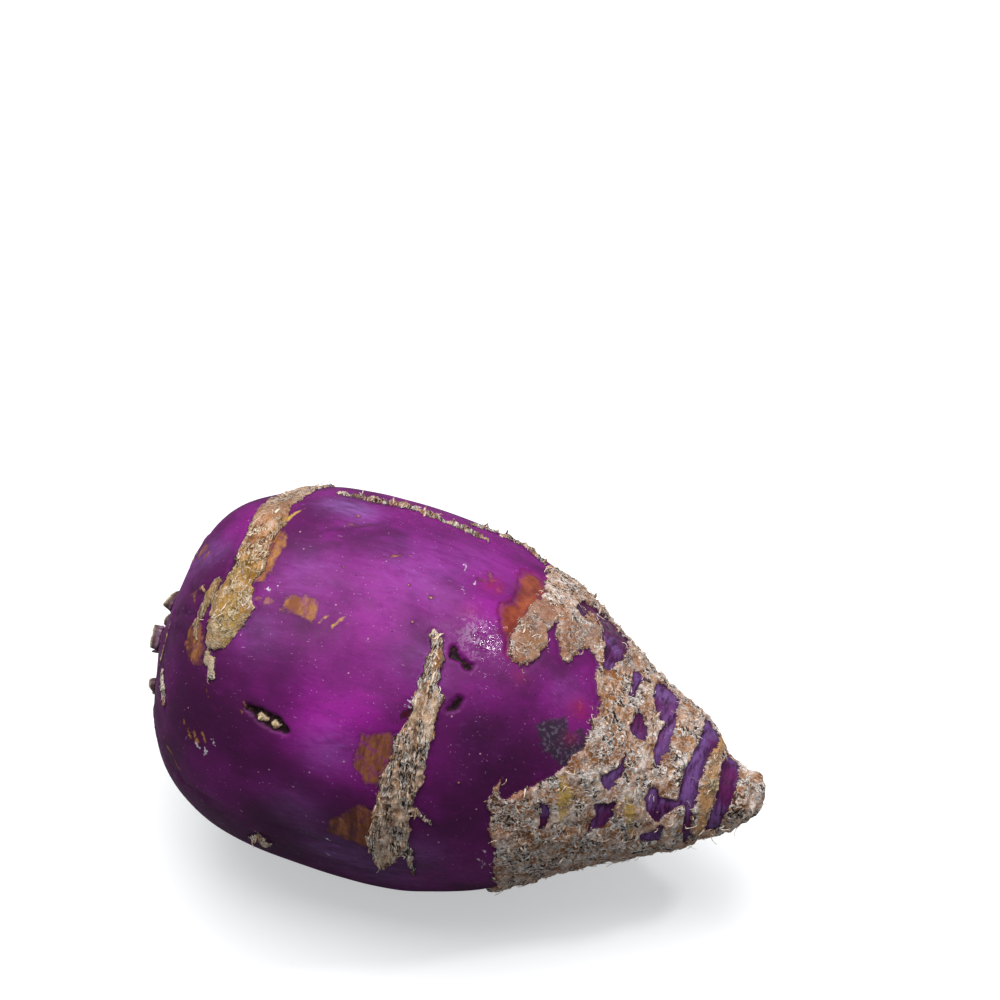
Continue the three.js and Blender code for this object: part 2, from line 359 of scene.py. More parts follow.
toneSpots = {
    # the pink spots are partly the skin's own magenta and partly painted highlight on the lit bulges and top
    "pinkAndHighlight": [(104, 55, 8, 1.0), (96, 47, 5, 0.4), (76, 6, 6, 0.5), (79, -14, 10, 0.55), (98, 6, 10, 0.3),
             (99, 27, 11, 0.5), (140, -8, 8, 0.4), (66, 34, 6, 0.2), (96, 100, 9, 0.3)],
    # the dark spots are painted shade on the lower front of the skin
    "darkMottleAndShade": [(66, 50, 12, 0.6), (66, 44, 10, 0.6), (88, 26, 6, 0.4), (118, 38, 9, 0.3), (72, 82, 16, 0.7),
             (112, 98, 20, 0.7), (140, 70, 16, 0.7), (150, 40, 12, 0.6), (128, 60, 10, 0.4),
             (95, 100, 16, 0.6)],
    # the pale bluish spots are wax bloom together with painted sheen, a painted reflection of light on the
    # upper skin
    "bloomAndSheen": [(102, 60, 6, 0.7), (82, -14, 8, 0.3), (95, 2, 12, 0.45), (115, -16, 5, 1.0),
              (122, -18, 5, 0.7), (152, 2, 5, 0.7), (146, 6, 4, 0.4), (120, 12, 7, 0.4), (84, 26, 4, 0.3),
              (127, 34, 6, 0.4), (83, 33, 4, 0.35), (108, 84, 7, 0.4), (86, 108, 10, 0.5),
              (91, 30, 5, 0.2), (52, 20, 4, 0.3), (46, 44, 3, 0.3), (98, 100, 8, 0.5), (76, 92, 6, 0.4)],
    "wet": [(74, 16, 5.0, 1.0), (70, -6, 5, 0.5), (54, -22, 4, 0.8), (48, -30, 5, 0.7), (30, -10, 4, 0.5),
            (38, 50, 3, 0.4)],
    "freckle": [(66, 40, 9, 1.0), (71, 60, 9, 0.7), (60, 20, 8, 0.6), (104, 52, 6, 0.5), (97, 53, 5, 0.9),
                (100, 2, 12, 0.3), (128, 70, 16, 0.4), (84, 8, 8, 0.3)],
    "redSpot": [(48, 24, 2.6, 1.0), (48, 37, 1.6, 0.8), (77, -4, 2.6, 0.9), (66, 17, 1.8, 0.7),
                (63, 23, 1.8, 0.6), (79, 9, 2.0, 0.5)],
    "ochre": [(137, -10, 9, 0.8), (136, 4, 8, 1.0), (135, 18, 8, 1.0), (136, 34, 9, 1.0),
              (118, 24, 6, 1.0), (127, 24, 4, 1.0), (152, 0, 8, 0.8), (148, 22, 4, 0.8)],
    "rosyBark": [(137, -34, 9, 0.9), (137, -14, 8, 1.0), (138, -2, 5, 0.6), (64, -8, 6, 0.7),
                 (67, 8, 4, 0.8), (60, 71, 3, 0.8)],
    "golden": [(135, 14, 6, 1.0), (134, 22, 5, 0.9), (136, 38, 5, 0.9), (132, 30, 4, 0.8),
               (143, 24, 3, 0.6), (46, 22, 2.5, 0.8), (43, 66, 3.5, 0.6), (29, 64, 3, 0.6),
               (62, 10, 3, 0.7), (132, -5, 3, 0.8)],
    "shade": [(57, 76, 5, 0.7), (56, 92, 7, 0.8), (45, 104, 12, 0.8), (30, 104, 10, 0.7),
              (60, 108, 10, 0.8), (47, 84, 6, 0.4), (86, 84, 5, 0.25), (85, 100, 6, 0.3)],
    "beige": [(136, 47, 3.5, 1.0), (136, 35, 2.4, 0.6), (138, -28, 6, 0.5)],
    "olive": [(136, 28, 4, 0.8), (144, 27, 3, 0.7), (137, 15, 3, 0.8), (134, 36, 4, 0.7), (84, 43, 2, 0.6)],
    "rust": [(59, 64, 2.6, 1.0), (57, 68, 2.4, 0.8), (130, 6, 3, 0.9), (133, -8, 5, 0.7),
             (134, 6, 4, 0.7), (59, 72, 3, 0.9), (60, 82, 4, 0.8), (56, 65, 4, 0.7), (47, 44, 3, 0.6),
             (92, 60, 4, 0.8), (112, -27, 5, 0.8)],
}

bulbForm = {
    "voxel": 1.58 * mm,
    "smoothing": 8,
    "bulges": [(103, 53, 8, 1.0), (91, 47, 5, 0.7), (66, 30, 10, 0.4), (120, 40, 12, 0.5), (75, 6, 7, 0.5)],
    "hollows": [(87, 12, 5, 1.0), (85, 22, 4, 0.9), (97, 62, 5, 0.6), (112, 52, 7, 0.5), (80, 30, 5, 0.5)],
    # heights and depths in mm
    "broadLumps": 0.35,
    "smallLumps": 0.16,
    "corkLift": 0.55,
    "corkRelief": 0.6,
    "stumpRelief": 0.5,  # added over the last millimetres of the root
    "stumpLumps": 0.9,
    "stumpSink": 0.3,
    "scarLift": 0.9,
    "scarMoat": 0.25,
    "corkMoat": 0.15,
    "pitDepth": 1.3,
    "woundDepth": 0.7,
    "wartLift": 0.45,
    "kernelLift": 1.0,
    "kernelGrit": 0.5,
    "crownRim": 0.35,
    "crownDip": 0.3,
    "stubMound": 0.5,
    "stubFoot": 0.25,
    "creaseDepth": 0.4,
    "plateLift": 0.45,
    "ringGap": 5.2,  # between the folds that run round the root
    "ringWidth": 0.4,
    "restBand": 0.6,  # the underside this close to the surface stays flat
    "restFade": 1.5,
}


def clearSelection():
    bpy.ops.object.select_all(action="DESELECT")


def pick(piece):
    clearSelection()
    piece.select_set(True)
    bpy.context.view_layer.objects.active = piece


def applyModifier(piece, kind, **settings):
    pick(piece)
    modifier = piece.modifiers.new(kind.title(), kind)
    for name, value in settings.items():
        setattr(modifier, name, value)
    bpy.ops.object.modifier_apply(modifier=modifier.name)


def readVectors(items, name="co"):
    values = np.zeros(len(items) * 3)
    items.foreach_get(name, values)
    return values.reshape(-1, 3)


def writePoints(mesh, points):
    mesh.vertices.foreach_set("co", np.ascontiguousarray(points, np.float32).ravel())
    mesh.update()


def storeValue(mesh, name, values):
    layer = mesh.attributes.new(name, "FLOAT", "POINT")
    layer.data.foreach_set("value", np.ascontiguousarray(values, np.float32))


def addPiece(name, mesh):
    piece = bpy.data.objects.new(name, mesh)
    bpy.context.scene.collection.objects.link(piece)
    return piece


# A copy of a CAD piece with its corners joined, made of even small faces and smoothed
def evenCopy(name, newName, form, subdivisions=0):
    piece = addPiece(newName, cadNodes[name].data.copy())
    piece.data.materials.clear()
    pick(piece)
    bpy.ops.object.mode_set(mode="EDIT")
    bpy.ops.mesh.select_all(action="SELECT")
    bpy.ops.mesh.remove_doubles(threshold=1e-6)
    if subdivisions:
        bpy.ops.mesh.tris_convert_to_quads()
    bpy.ops.object.mode_set(mode="OBJECT")
    if subdivisions:
        applyModifier(piece, "SUBSURF", levels=subdivisions, render_levels=subdivisions)
    applyModifier(piece, "REMESH", mode="VOXEL", voxel_size=form["voxel"])
    applyModifier(piece, "SMOOTH", factor=0.5, iterations=form["smoothing"])
    return piece


# Every mark's edge is ragged: the places are shaken a little before they are looked up
def shaken(places, coarse, fine, seed):
    points = places["points"]
    moved = dict(places)
    # the plates at the root end have cleaner edges
    calmer = 0.35 + 0.65 * smoothStep(places["along"], 20, 30)
    coarse, fine = coarse * calmer, fine * calmer
    moved["along"] = places["along"] + coarse * softNoise(points, 4.5, seed)
    moved["along"] += fine * softNoise(points, 1.3, seed + 3, 2)
    sideways = coarse * softNoise(points, 4.5, seed + 1) + fine * softNoise(points, 1.3, seed + 4, 2)
    moved["around"] = places["around"] + np.degrees(sideways / np.maximum(places["radius"], smallestRadius))
    return moved


def depthInCrownScars(places):
    depth = np.full(len(places["along"]), -farOut)
    for around, distance, halfLength, halfWidth in crownScars:
        turned = np.radians((places["around"] - around + 180) % 360 - 180)
        arc = turned * places["radius"] / halfLength
        away = np.abs(places["radius"] - distance + 1.5 * arc**2)
        depth = np.maximum(depth, halfWidth * (1 - arc**2) - away)
    return np.where(places["along"] > 128, depth, -farOut)


def markDepths(points):
    places = placesOf(points)
    rough = shaken(places, 0.9, 0.55, 11)
    soft = shaken(places, 0.6, 0.3, 31)
    edge = [(along, around - 360) for along, around in corkEdge if around > 60]
    edge += corkEdge + [(along, around + 360) for along, around in corkEdge if around < -60]
    wholeRoot = edge + [(-20, edge[-1][1]), (-20, edge[0][1])]
    islands = depthInMarks(rough, **skinIslands)
    rootCork = depthInOutline(rough, wholeRoot)
    return {
        "cork": np.minimum(rootCork, -islands),
        "rootZone": rootCork,
        "island": islands,
        "scar": depthInMarks(rough, **leafScars),
        "stain": depthInMarks(soft, **smoothStains),
        "wound": depthInOutline(soft, wetWound),
        "tender": depthInMarks(soft, tenderCork),
        "plate": depthInOutline(soft, ochrePlate),
        "fresh": depthInMarks(places, (), freshStreaks),
        "bruise": depthInOutline(soft, bruisePatch),
        "pit": depthInMarks(soft, (), list(pits.values())),
        "scratch": depthInMarks(places, (), paleFlecks),
        "gash": depthInStroke(soft, darkGap),
        "rosy": depthInMarks(soft, (), rosyStreaks),
        "tanStreak": depthInMarks(soft, (), tanStreaks),
        "wart": depthInMarks(places, (), [[wart, wart] for wart in warts]),
        "kernel": depthInMarks(shaken(places, 0.4, 0.4, 47), (), [[kernel, kernel] for kernel in kernels]),
        "crownScar": depthInCrownScars(soft),
    }


def refine(shell, wanted):
    mesh = shell.data
    corners = np.zeros(len(mesh.loops), np.int32)
    mesh.loops.foreach_get("vertex_index", corners)
    starts = np.zeros(len(mesh.polygons), np.int32)
    mesh.polygons.foreach_get("loop_start", starts)
    chosen = np.maximum.reduceat(wanted[corners].astype(np.int8), starts).astype(bool)
    pick(shell)
    bpy.context.tool_settings.mesh_select_mode = (False, False, True)
    bpy.ops.object.mode_set(mode="EDIT")
    bpy.ops.mesh.select_all(action="DESELECT")
    bpy.ops.object.mode_set(mode="OBJECT")
    mesh.polygons.foreach_set("select", chosen)
    bpy.ops.object.mode_set(mode="EDIT")
    bpy.ops.mesh.subdivide(number_cuts=1, smoothness=0)
    bpy.ops.mesh.vertices_smooth(factor=0.5, repeat=2)
    bpy.ops.object.mode_set(mode="OBJECT")


def markedBy(depths, margin):
    names = ("cork", "scar", "stain", "wound", "fresh", "pit", "scratch", "wart", "crownScar")
    return np.max([depths[name] for name in names], axis=0) > -margin


stubNames = ["leaf_stub_%d" % number for number in range(1, 8)]


def nearStubs(spots, reach):
    near = np.zeros(len(spots))
    for name in stubNames:
        low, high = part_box(name)
        middle = (np.array(low) + np.array(high)) / 2 / mm
        foot = middle - towardCrown * 2
        near = np.maximum(near, np.exp(-((np.linalg.norm(spots - foot, axis=1) / reach) ** 2)))
    return near


# The places squeezed so that a noise over them runs round the stem
def roundTheStem(places, lengthwise, across):
    points = places["points"]
    return np.stack([places["along"] * lengthwise, points[:, 1] * across, points[:, 2] * across], axis=1)


def smoothShading(piece):
    faces = piece.data.polygons
    faces.foreach_set("use_smooth", np.ones(len(faces), bool))


def shapeBulb(shell):
    points = readVectors(shell.data.vertices)
    depths = markDepths(points)
    refine(shell, markedBy(depths, 1.0))
    points = readVectors(shell.data.vertices)
    depths = markDepths(points)
    front = placesOf(points)["around"]
    facing = (front > -40) & (front < 105)
    dry = np.maximum(depths["cork"], depths["scar"]) > -0.2
    hurt = np.maximum(depths["wound"], depths["pit"]) > -0.4
    refine(shell, (dry | hurt) & facing)

    mesh = shell.data
    points = readVectors(mesh.vertices)
    normals = readVectors(mesh.vertices, "normal")
    places = placesOf(points)
    depths = markDepths(points)
    spots = places["points"]
    cork = smoothStep(depths["cork"], -0.1, 0.45)
    scar = smoothStep(depths["scar"], -0.15, 0.6)
    pit = smoothStep(depths["pit"], -0.6, 1.1)
    wound = smoothStep(depths["wound"], -0.4, 1.2)
    tender = smoothStep(depths["tender"], -0.3, 0.8)
    plate = smoothStep(depths["plate"], -0.2, 0.6)

    along = places["along"]
    form = bulbForm
    lift = form["broadLumps"] * softNoise(spots, 22, 41) + form["smallLumps"] * softNoise(spots, 8, 43)
    lift += softSpots(places, form["bulges"]) - softSpots(places, form["hollows"])
    crumbs = 1 - crumbNoise(spots, 1.5, 51)
    curls = 1 - 2.2 * np.abs(softNoise(spots, 2.0, 57, 2))
    lumps = 0.6 * softNoise(spots, 4.4, 53, 2) + 0.5 * softNoise(roundTheStem(places, 2.6, 0.4), 3.4, 59, 2)
    gap = form["ringGap"]
    ring = (along + 2.2 * softNoise(spots, 11, 73) + 0.7 * softNoise(spots, 2.5, 75)) % gap - gap / 2
    ringFold = np.exp(-((ring / form["ringWidth"]) ** 2)) * smoothStep(softNoise(spots, 9, 77), -0.2, 0.2)
    ringFold = ringFold * smoothStep(62 - along, 0, 8)
    folded = 1 - 2.0 * np.abs(softNoise(roundTheStem(places, 1.9, 0.55), 3.2, 58, 2))
    coarse = 0.14 * crumbs + 0.24 * curls + 0.5 * folded + lumps - 0.9 * ringFold
    calm = 1 - 0.75 * np.maximum(tender, plate)
    stump = smoothStep(9 - along, 0, 4)
    lift += cork * (form["corkLift"] + calm * (form["corkRelief"] + form["stumpRelief"] * stump) * coarse)
    lift += stump * (form["stumpLumps"] * softNoise(spots, 5.0, 71) - form["stumpSink"])
    fibres = softNoise(roundTheStem(places, 2.6, 0.25), 1.8, 61, 2)
    folds = 1 - 2.2 * np.abs(softNoise(spots, 2.7, 63, 2))
    crumple = smoothStep(places["around"], 50, 66) * (along < 100) + smoothStep(-places["around"], 40, 60)
    crumple = np.clip(crumple + 0.3, 0, 1)
    young = smoothStep(along, 122, 130)
    lift += scar * (form["scarLift"] * (1 - 0.5 * young) + (0.5 - 0.3 * crumple) * (1 - 0.3 * young) * fibres
                    + (0.15 + 0.5 * crumple) * folds)
    lift -= form["scarMoat"] * np.exp(-((depths["scar"] + 0.35) / 0.4) ** 2)
    lift -= form["corkMoat"] * np.exp(-((depths["cork"] + 0.4) / 0.5) ** 2)
    lift -= form["pitDepth"] * pit
    lift -= form["woundDepth"] * wound * (1 - tender)
    lift += form["wartLift"] * smoothStep(depths["wart"], -0.5, 0.3)
    kernelLift = form["kernelLift"] + form["kernelGrit"] * softNoise(spots, 0.9, 83, 2)
    lift += kernelLift * smoothStep(depths["kernel"], -0.3, 0.7)
    crownRim = np.exp(-((depths["crownScar"] + 0.2) / 0.5) ** 2)
    lift += form["crownRim"] * crownRim - form["crownDip"] * smoothStep(depths["crownScar"], 0, 0.8)
    lift += form["stubMound"] * nearStubs(spots, 4.4) + form["stubFoot"] * nearStubs(spots, 2.6)
    for crease in creases:
        lift -= form["creaseDepth"] * smoothStep(depthInStroke(places, crease), -0.7, 0.4)
    lift += form["plateLift"] * plate
    ground = (spots[:, 2] < form["restBand"]) & (normals[:, 2] < -0.6)
    lift = np.where(ground, np.minimum(lift, 0), lift)
    lift *= 1 - 0.9 * smoothStep(-normals[:, 2], 0.9, 0.995) * (spots[:, 2] < form["restFade"])
    moved = points + normals * (lift * mm)[:, None]
    moved[:, 2] = np.maximum(moved[:, 2], 0.0)
    writePoints(mesh, moved)

    for name, depth in depths.items():
        storeValue(mesh, name, depth)
    storeValue(mesh, "relief", np.where(scar > cork, 0.6 * fibres + 0.6 * folds, coarse))
    storeValue(mesh, "rootSkin", smoothStep(depths["rootZone"], 0, 2.5))
    for name, toneList in toneSpots.items():
        storeValue(mesh, name, np.clip(softSpots(places, toneList), 0, 1))
    creaseShade = np.max([depthInStroke(places, crease) for crease in creases], axis=0)
    storeValue(mesh, "creaseShade", smoothStep(creaseShade, -0.5, 0.5))
    storeValue(mesh, "stubFoot", nearStubs(spots, 3.6))
    # used below to paint shade where the skin faces down
    storeValue(mesh, "underside", smoothStep(-normals[:, 2], -0.2, 0.8))
    smoothShading(shell)
    print("bulb skin:", len(mesh.polygons), "faces")


# Random spots on the skin, more of them where the share is higher, each with its own directions
def scatterSpots(skin, share, count, seed):
    mesh = skin.data
    draw = np.random.default_rng(seed)
    centres = readVectors(mesh.polygons, "center")
    normals = readVectors(mesh.polygons, "normal")
    areas = np.zeros(len(mesh.polygons))
    mesh.polygons.foreach_get("area", areas)
    firstCorner = np.array([polygon.vertices[0] for polygon in mesh.polygons])
    weight = areas * share[firstCorner]
    chosen = draw.choice(len(weight), size=count, p=weight / weight.sum())
    up = normals[chosen]
    across = np.cross(up, towardCrown)
    across /= np.linalg.norm(across, axis=1)[:, None]
    return {"at": centres[chosen], "up": up, "round": across, "draw": draw}


# Copies one small template to every spot. The template lies on its own XY plane, long along X, in mm.
def scatterPiece(name, template, spots, sizes, turns, tilts, sink, stretches=None, smooth=True):
    corners = np.array([corner.co[:] for corner in template.data.vertices])
    faces = [list(face.vertices) for face in template.data.polygons]
    points, allFaces = [], []
    for i, (at, up, along) in enumerate(zip(spots["at"], spots["up"], spots["round"])):
        side = np.cross(up, along)
        turn, tilt = turns[i], tilts[i]
        forward = along * math.cos(turn) + side * math.sin(turn)
        across = np.cross(up, forward)
        forward = forward * math.cos(tilt) + up * math.sin(tilt)
        top = np.cross(forward, across)
        size = sizes[i] * mm * (np.ones(3) if stretches is None else stretches[i])
        shaped = corners * size
        foot = at - up * sink * mm
        points.append(foot + shaped[:, :1] * forward + shaped[:, 1:2] * across + shaped[:, 2:] * top)
        allFaces += [[corner + i * len(corners) for corner in face] for face in faces]
    mesh = bpy.data.meshes.new(name)
    mesh.from_pydata(np.concatenate(points).tolist(), [], allFaces)
    mesh.polygons.foreach_set("use_smooth", np.full(len(mesh.polygons), smooth))
    mesh.update()
    bpy.data.objects.remove(template)
    print(name + ":", len(mesh.polygons), "faces")
    return addPiece(name, mesh)


fibre = {
    "thickness": 0.07,
    "bend": 0.75,
    "steps": 3,
    "count": 1800,
    "shapes": ((75, 60), (130, 0), (45, 70)),  # degrees bent one way and then the other way
}


# A short wavy fibre: a small ring of corners spun one way and then a little the other way
def fibreTemplate(firstDegrees, secondDegrees):
    clearSelection()
    bend = fibre["bend"]
    upright = (0, math.radians(90), 0)
    bpy.ops.mesh.primitive_circle_add(vertices=4, radius=fibre["thickness"], fill_type="NGON",
                                      location=(0, bend, 0), rotation=upright)
    template = bpy.context.object
    pick(template)
    bpy.ops.object.transform_apply(location=True, rotation=True)
    bpy.ops.object.mode_set(mode="EDIT")
    bpy.ops.mesh.select_all(action="SELECT")
    steps = fibre["steps"]
    first, second = math.radians(firstDegrees), math.radians(secondDegrees)
    bpy.ops.mesh.spin(steps=steps, angle=first, center=(0, 0, 0), axis=(0, 0, 1))
    if secondDegrees:
        otherCentre = (-2 * bend * math.sin(first), 2 * bend * math.cos(first), 0)
        bpy.ops.mesh.spin(steps=steps, angle=second, center=otherCentre, axis=(0, 0, -1))
    bpy.ops.mesh.select_all(action="SELECT")
    bpy.ops.mesh.normals_make_consistent(inside=False)
    bpy.ops.object.mode_set(mode="OBJECT")
    return template


flake = {"length": 3.2, "width": 0.6, "thickness": 0.1, "curlDegrees": 22, "count": 420}


# A thin splinter of dead skin, slightly curled along its length
def flakeTemplate():
    clearSelection()
    bpy.ops.mesh.primitive_grid_add(x_subdivisions=5, y_subdivisions=2, size=1)
    template = bpy.context.object
    for corner in template.data.vertices:
        point = corner.co
        taper = 1 - 3.2 * abs(point.x) ** 2
        point.y = flake["width"] * (point.y * taper + 0.35 * math.sin(5 * point.x))
        point.x *= flake["length"]
    curl = math.radians(flake["curlDegrees"])
    applyModifier(template, "SIMPLE_DEFORM", deform_method="BEND", deform_axis="Y", angle=curl)
    applyModifier(template, "SOLIDIFY", thickness=flake["thickness"], offset=0)
    return template


crumb = {"size": 0.36, "count": 420}


def crumbTemplate():
    clearSelection()
    bpy.ops.mesh.primitive_ico_sphere_add(subdivisions=1, radius=crumb["size"])
    template = bpy.context.object
    draw = random.Random(5)
    for corner in template.data.vertices:
        corner.co *= draw.uniform(0.45, 1.35)
        corner.co.z *= 0.6
    return template


def readValue(skin, name):
    values = np.zeros(len(skin.data.vertices))
    skin.data.attributes[name].data.foreach_get("value", values)
    return values


# Length and width differ from one piece to the next; the thickness does not
def drawStretches(draw, count, lengths, widths):
    return np.stack([draw.uniform(*lengths, count), draw.uniform(*widths, count), np.ones(count)], axis=1)


def dressCork(skin):
    cork = readValue(skin, "cork")
    scar = readValue(skin, "scar")
    places = placesOf(readVectors(skin.data.vertices))
    high = places["points"][:, 2] > 1.2
    calm = 1 - 0.7 * np.clip(np.maximum(readValue(skin, "tender"), readValue(skin, "plate")), 0, 1)
    patchy = smoothStep(softNoise(places["points"], 6, 81), -0.5, 0.6)
    made = []

    onCork = ((cork > 0.05) * (0.15 + patchy) * calm + 0.3 * (cork > -1.3)) * high
    count = fibre["count"] // len(fibre["shapes"])
    for order, shape in enumerate(fibre["shapes"]):
        spots = scatterSpots(skin, onCork + 0.5 * (scar > 0.3) * high, count, 3 + 10 * order)
        draw = spots["draw"]
        stretches = drawStretches(draw, count, (0.5, 1.4), (0.5, 1.6))
        sizes, turns = draw.uniform(0.45, 1.3, count), draw.uniform(-3.1, 3.1, count)
        tilts = draw.normal(0.1, 0.35, count)
        name = "corkFibres%d" % (order + 1)
        made.append(scatterPiece(name, fibreTemplate(*shape), spots, sizes, turns, tilts, -0.03, stretches))

    count = crumb["count"]
    spots = scatterSpots(skin, (cork > 0.1) * (1.2 - patchy) * high * calm, count, 4)
    draw = spots["draw"]
    stretches = draw.uniform(0.6, 1.5, (count, 3))
    sizes, turns = draw.uniform(0.6, 1.5, count), draw.uniform(-3.1, 3.1, count)
    tilts = draw.uniform(-0.5, 0.5, count)
    made.append(scatterPiece("corkCrumbs", crumbTemplate(), spots, sizes, turns, tilts, 0.05, stretches,
                             smooth=False))

    count = flake["count"]
    flat = 1 - 0.8 * (places["along"] > 122)
    onScars = (scar > 0.15) * high * flat + 0.12 * (cork > 0.2) * high * calm
    spots = scatterSpots(skin, onScars, count, 6)
    draw = spots["draw"]
    stretches = drawStretches(draw, count, (0.4, 1.4), (0.5, 1.5))
    sizes, turns = draw.uniform(0.55, 1.3, count), draw.normal(0, 0.3, count)
    tilts = draw.normal(0.04, 0.14, count)
    made.append(scatterPiece("scarFlakes", flakeTemplate(), spots, sizes, turns, tilts, -0.06, stretches))
    return made


stubForm = {
    "voxel": 0.4 * mm,
    "smoothing": 2,
    "wider": 1.12,
    "flare": 0.35,
    "slant": 0.5,
    "hollow": 0.35,
    "unevenCut": 0.25,
    "leanDegrees": (24, 6),  # the first stub leans outward the most
}


# A cut leaf stalk: spreads at its foot, ribbed along its sides, with a dished slanting cut
def shapeStub(name, order):
    stub = evenCopy(name, name.replace("_", "") + "Stalk", stubForm)
    points = readVectors(stub.data.vertices) / mm
    middle = points.mean(axis=0)
    around = math.radians(placesOf(middle[None] * mm)["around"][0])
    outward = upAcross * math.cos(around) + frontAcross * math.sin(around)
    first, last = stubForm["leanDegrees"]
    lean = math.radians(first + (last - first) * order / (len(stubNames) - 1))
    upwards = towardCrown * math.cos(lean) + outward * math.sin(lean)
    sideways = np.cross(upwards, outward)
    sideways /= np.linalg.norm(sideways)
    thick = np.cross(sideways, upwards)
    fromMiddle = points - middle
    height, side, depth = fromMiddle @ upwards, fromMiddle @ sideways, fromMiddle @ thick
    below = height.max() - height
    share = np.hypot(side / max(abs(side).max(), 1e-6), depth / max(abs(depth).max(), 1e-6))
    spread = stubForm["wider"] + stubForm["flare"] * smoothStep(below, 1.5, 5.0)
    ribs = softNoise(np.stack([height * 0.25, side, depth], axis=1), 1.3, 91 + order, 2)
    spread = spread + 0.05 * ribs + 0.03 * softNoise(points, 2.5, 95 + order)
    onCut = smoothStep(1.2 - below, 0, 0.7)
    slant = stubForm["slant"] * side / 3 * (-1) ** order
    uneven = stubForm["unevenCut"] * softNoise(points, 1.1, 99, 2)
    lift = onCut * (slant - stubForm["hollow"] * (1 - share**2) + uneven)
    shaped = middle + upwards * (height + lift)[:, None]
    shaped = shaped + sideways * (side * spread)[:, None] + thick * (depth * spread)[:, None]
    writePoints(stub.data, shaped * mm)
    storeValue(stub.data, "cut", smoothStep(0.75 - below, 0, 0.4))
    storeValue(stub.data, "rim", np.exp(-(((below - 0.9) / 0.6) ** 2)))
    storeValue(stub.data, "middle", 1 - np.clip(share, 0, 1))
    smoothShading(stub)
    return stub


budForm = {
    "voxel": 0.3 * mm,
    "smoothing": 2,
    "leafLength": 3.3,
    "leafWidth": 2.3,
    "leafThickness": 0.32,
    "leaves": 8,
    "turnDegrees": 137.5,  # from one leaf to the next
    "footDrop": 1.9,
    "footRadius": (1.5, 0.16),  # the first leaf's, and what each further leaf adds
    "leanDegrees": (4, 2.2),
}


def shapeBud():
    bud = evenCopy("crown_bud", "budHeart", budForm)
    points = readVectors(bud.data.vertices)
    middle = points.mean(axis=0) / mm
    fromMiddle = points / mm - middle
    up, front = fromMiddle @ upAcross, fromMiddle @ frontAcross
    height = fromMiddle @ towardCrown
    turn = (np.arctan2(front, up) / (2 * math.pi) * 3 + height * 0.22) % 1
    spread = 1 + 0.16 * turn
    shaped = middle + towardCrown * height[:, None]
    shaped = shaped + upAcross * (up * spread)[:, None] + frontAcross * (front * spread)[:, None]
    writePoints(bud.data, shaped * mm)
    storeValue(bud.data, "cut", np.zeros(len(points)))
    storeValue(bud.data, "rim", turn > 0.85)
    storeValue(bud.data, "middle", np.clip(height / height.max(), 0, 1))
    smoothShading(bud)
    return bud


# One small leaf of the bud, cupped, with a pointed tip along X
def budLeafTemplate():
    clearSelection()
    bpy.ops.mesh.primitive_grid_add(x_subdivisions=7, y_subdivisions=5, size=1)
    template = bpy.context.object
    for corner in template.data.vertices:
        point = corner.co
        alongLeaf = point.x + 0.5
        width = math.sin(math.pi * min(alongLeaf * 0.75 + 0.25, 0.97)) ** 0.7
        point.y *= budForm["leafWidth"] * width
        point.z = 0.55 * point.y**2 / budForm["leafWidth"] * 2 + 0.1 * math.sin(9 * alongLeaf) * abs(point.y)
        point.x = budForm["leafLength"] * alongLeaf
        point.z += 0.25 * alongLeaf**2
    applyModifier(template, "SOLIDIFY", thickness=budForm["leafThickness"], offset=0)
    applyModifier(template, "SUBSURF", levels=1, render_levels=1)
    return template


def dressBud(bud):
    draw = np.random.default_rng(21)
    count = budForm["leaves"]
    low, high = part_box("crown_bud")
    middle = (np.array(low) + np.array(high)) / 2
    radius, radiusStep = budForm["footRadius"]
    firstLean, leanStep = budForm["leanDegrees"]
    at, up, along = [], [], []
    for i in range(count):
        around = math.radians(budForm["turnDegrees"] * i)
        outward = upAcross * math.cos(around) + frontAcross * math.sin(around)
        lean = math.radians(firstLean + leanStep * i)
        at.append(middle - towardCrown * budForm["footDrop"] * mm + outward * (radius + radiusStep * i) * mm)
        along.append(towardCrown * math.cos(lean) + outward * math.sin(lean))
        up.append(-outward * math.cos(lean) + towardCrown * math.sin(lean))
    spots = {"at": np.array(at), "up": np.array(up), "round": np.array(along), "draw": draw}
    sizes, still = draw.uniform(0.75, 1.1, count), np.zeros(count)
    leaves = scatterPiece("budLeaves", budLeafTemplate(), spots, sizes, still, still, 0)
    for name in ("cut", "rim", "middle"):
        storeValue(leaves.data, name, np.zeros(len(leaves.data.vertices)))
    return leaves


def paint(red, green, blue):
    parts = (red / 255, green / 255, blue / 255)
    linear = [c / 12.92 if c <= 0.04045 else ((c + 0.055) / 1.055) ** 2.4 for c in parts]
    return (*linear, 1.0)


# A value in a node tree. Sums, differences and products of values add the nodes that work them out.
class Value:
    def __init__(self, socket):
        self.socket = socket
        self.tree = socket.id_data

    def __add__(self, other):
        return compute("ADD", self, other)

    def __radd__(self, other):
        return compute("ADD", other, self)

    def __sub__(self, other):
        return compute("SUBTRACT", self, other)

    def __rsub__(self, other):
        return compute("SUBTRACT", other, self)

    def __mul__(self, other):
        return compute("MULTIPLY", self, other)

    def __abs__(self):
        return compute("ABSOLUTE", self, 0.0)


def connect(node, inputs):
    for name, value in inputs.items():
        if isinstance(value, Value):
            node.id_data.links.new(value.socket, node.inputs[name])
        else:
            node.inputs[name].default_value = value


def addNode(tree, kind, inputs=None, output=0, **settings):
    node = tree.nodes.new(kind)
    for name, value in settings.items():
        setattr(node, name, value)
    connect(node, inputs or {})
    return Value(node.outputs[output])


def compute(operation, first, second, clamp=False):
    tree = first.tree if isinstance(first, Value) else second.tree
    return addNode(tree, "ShaderNodeMath", {0: first, 1: second}, operation=operation, use_clamp=clamp)


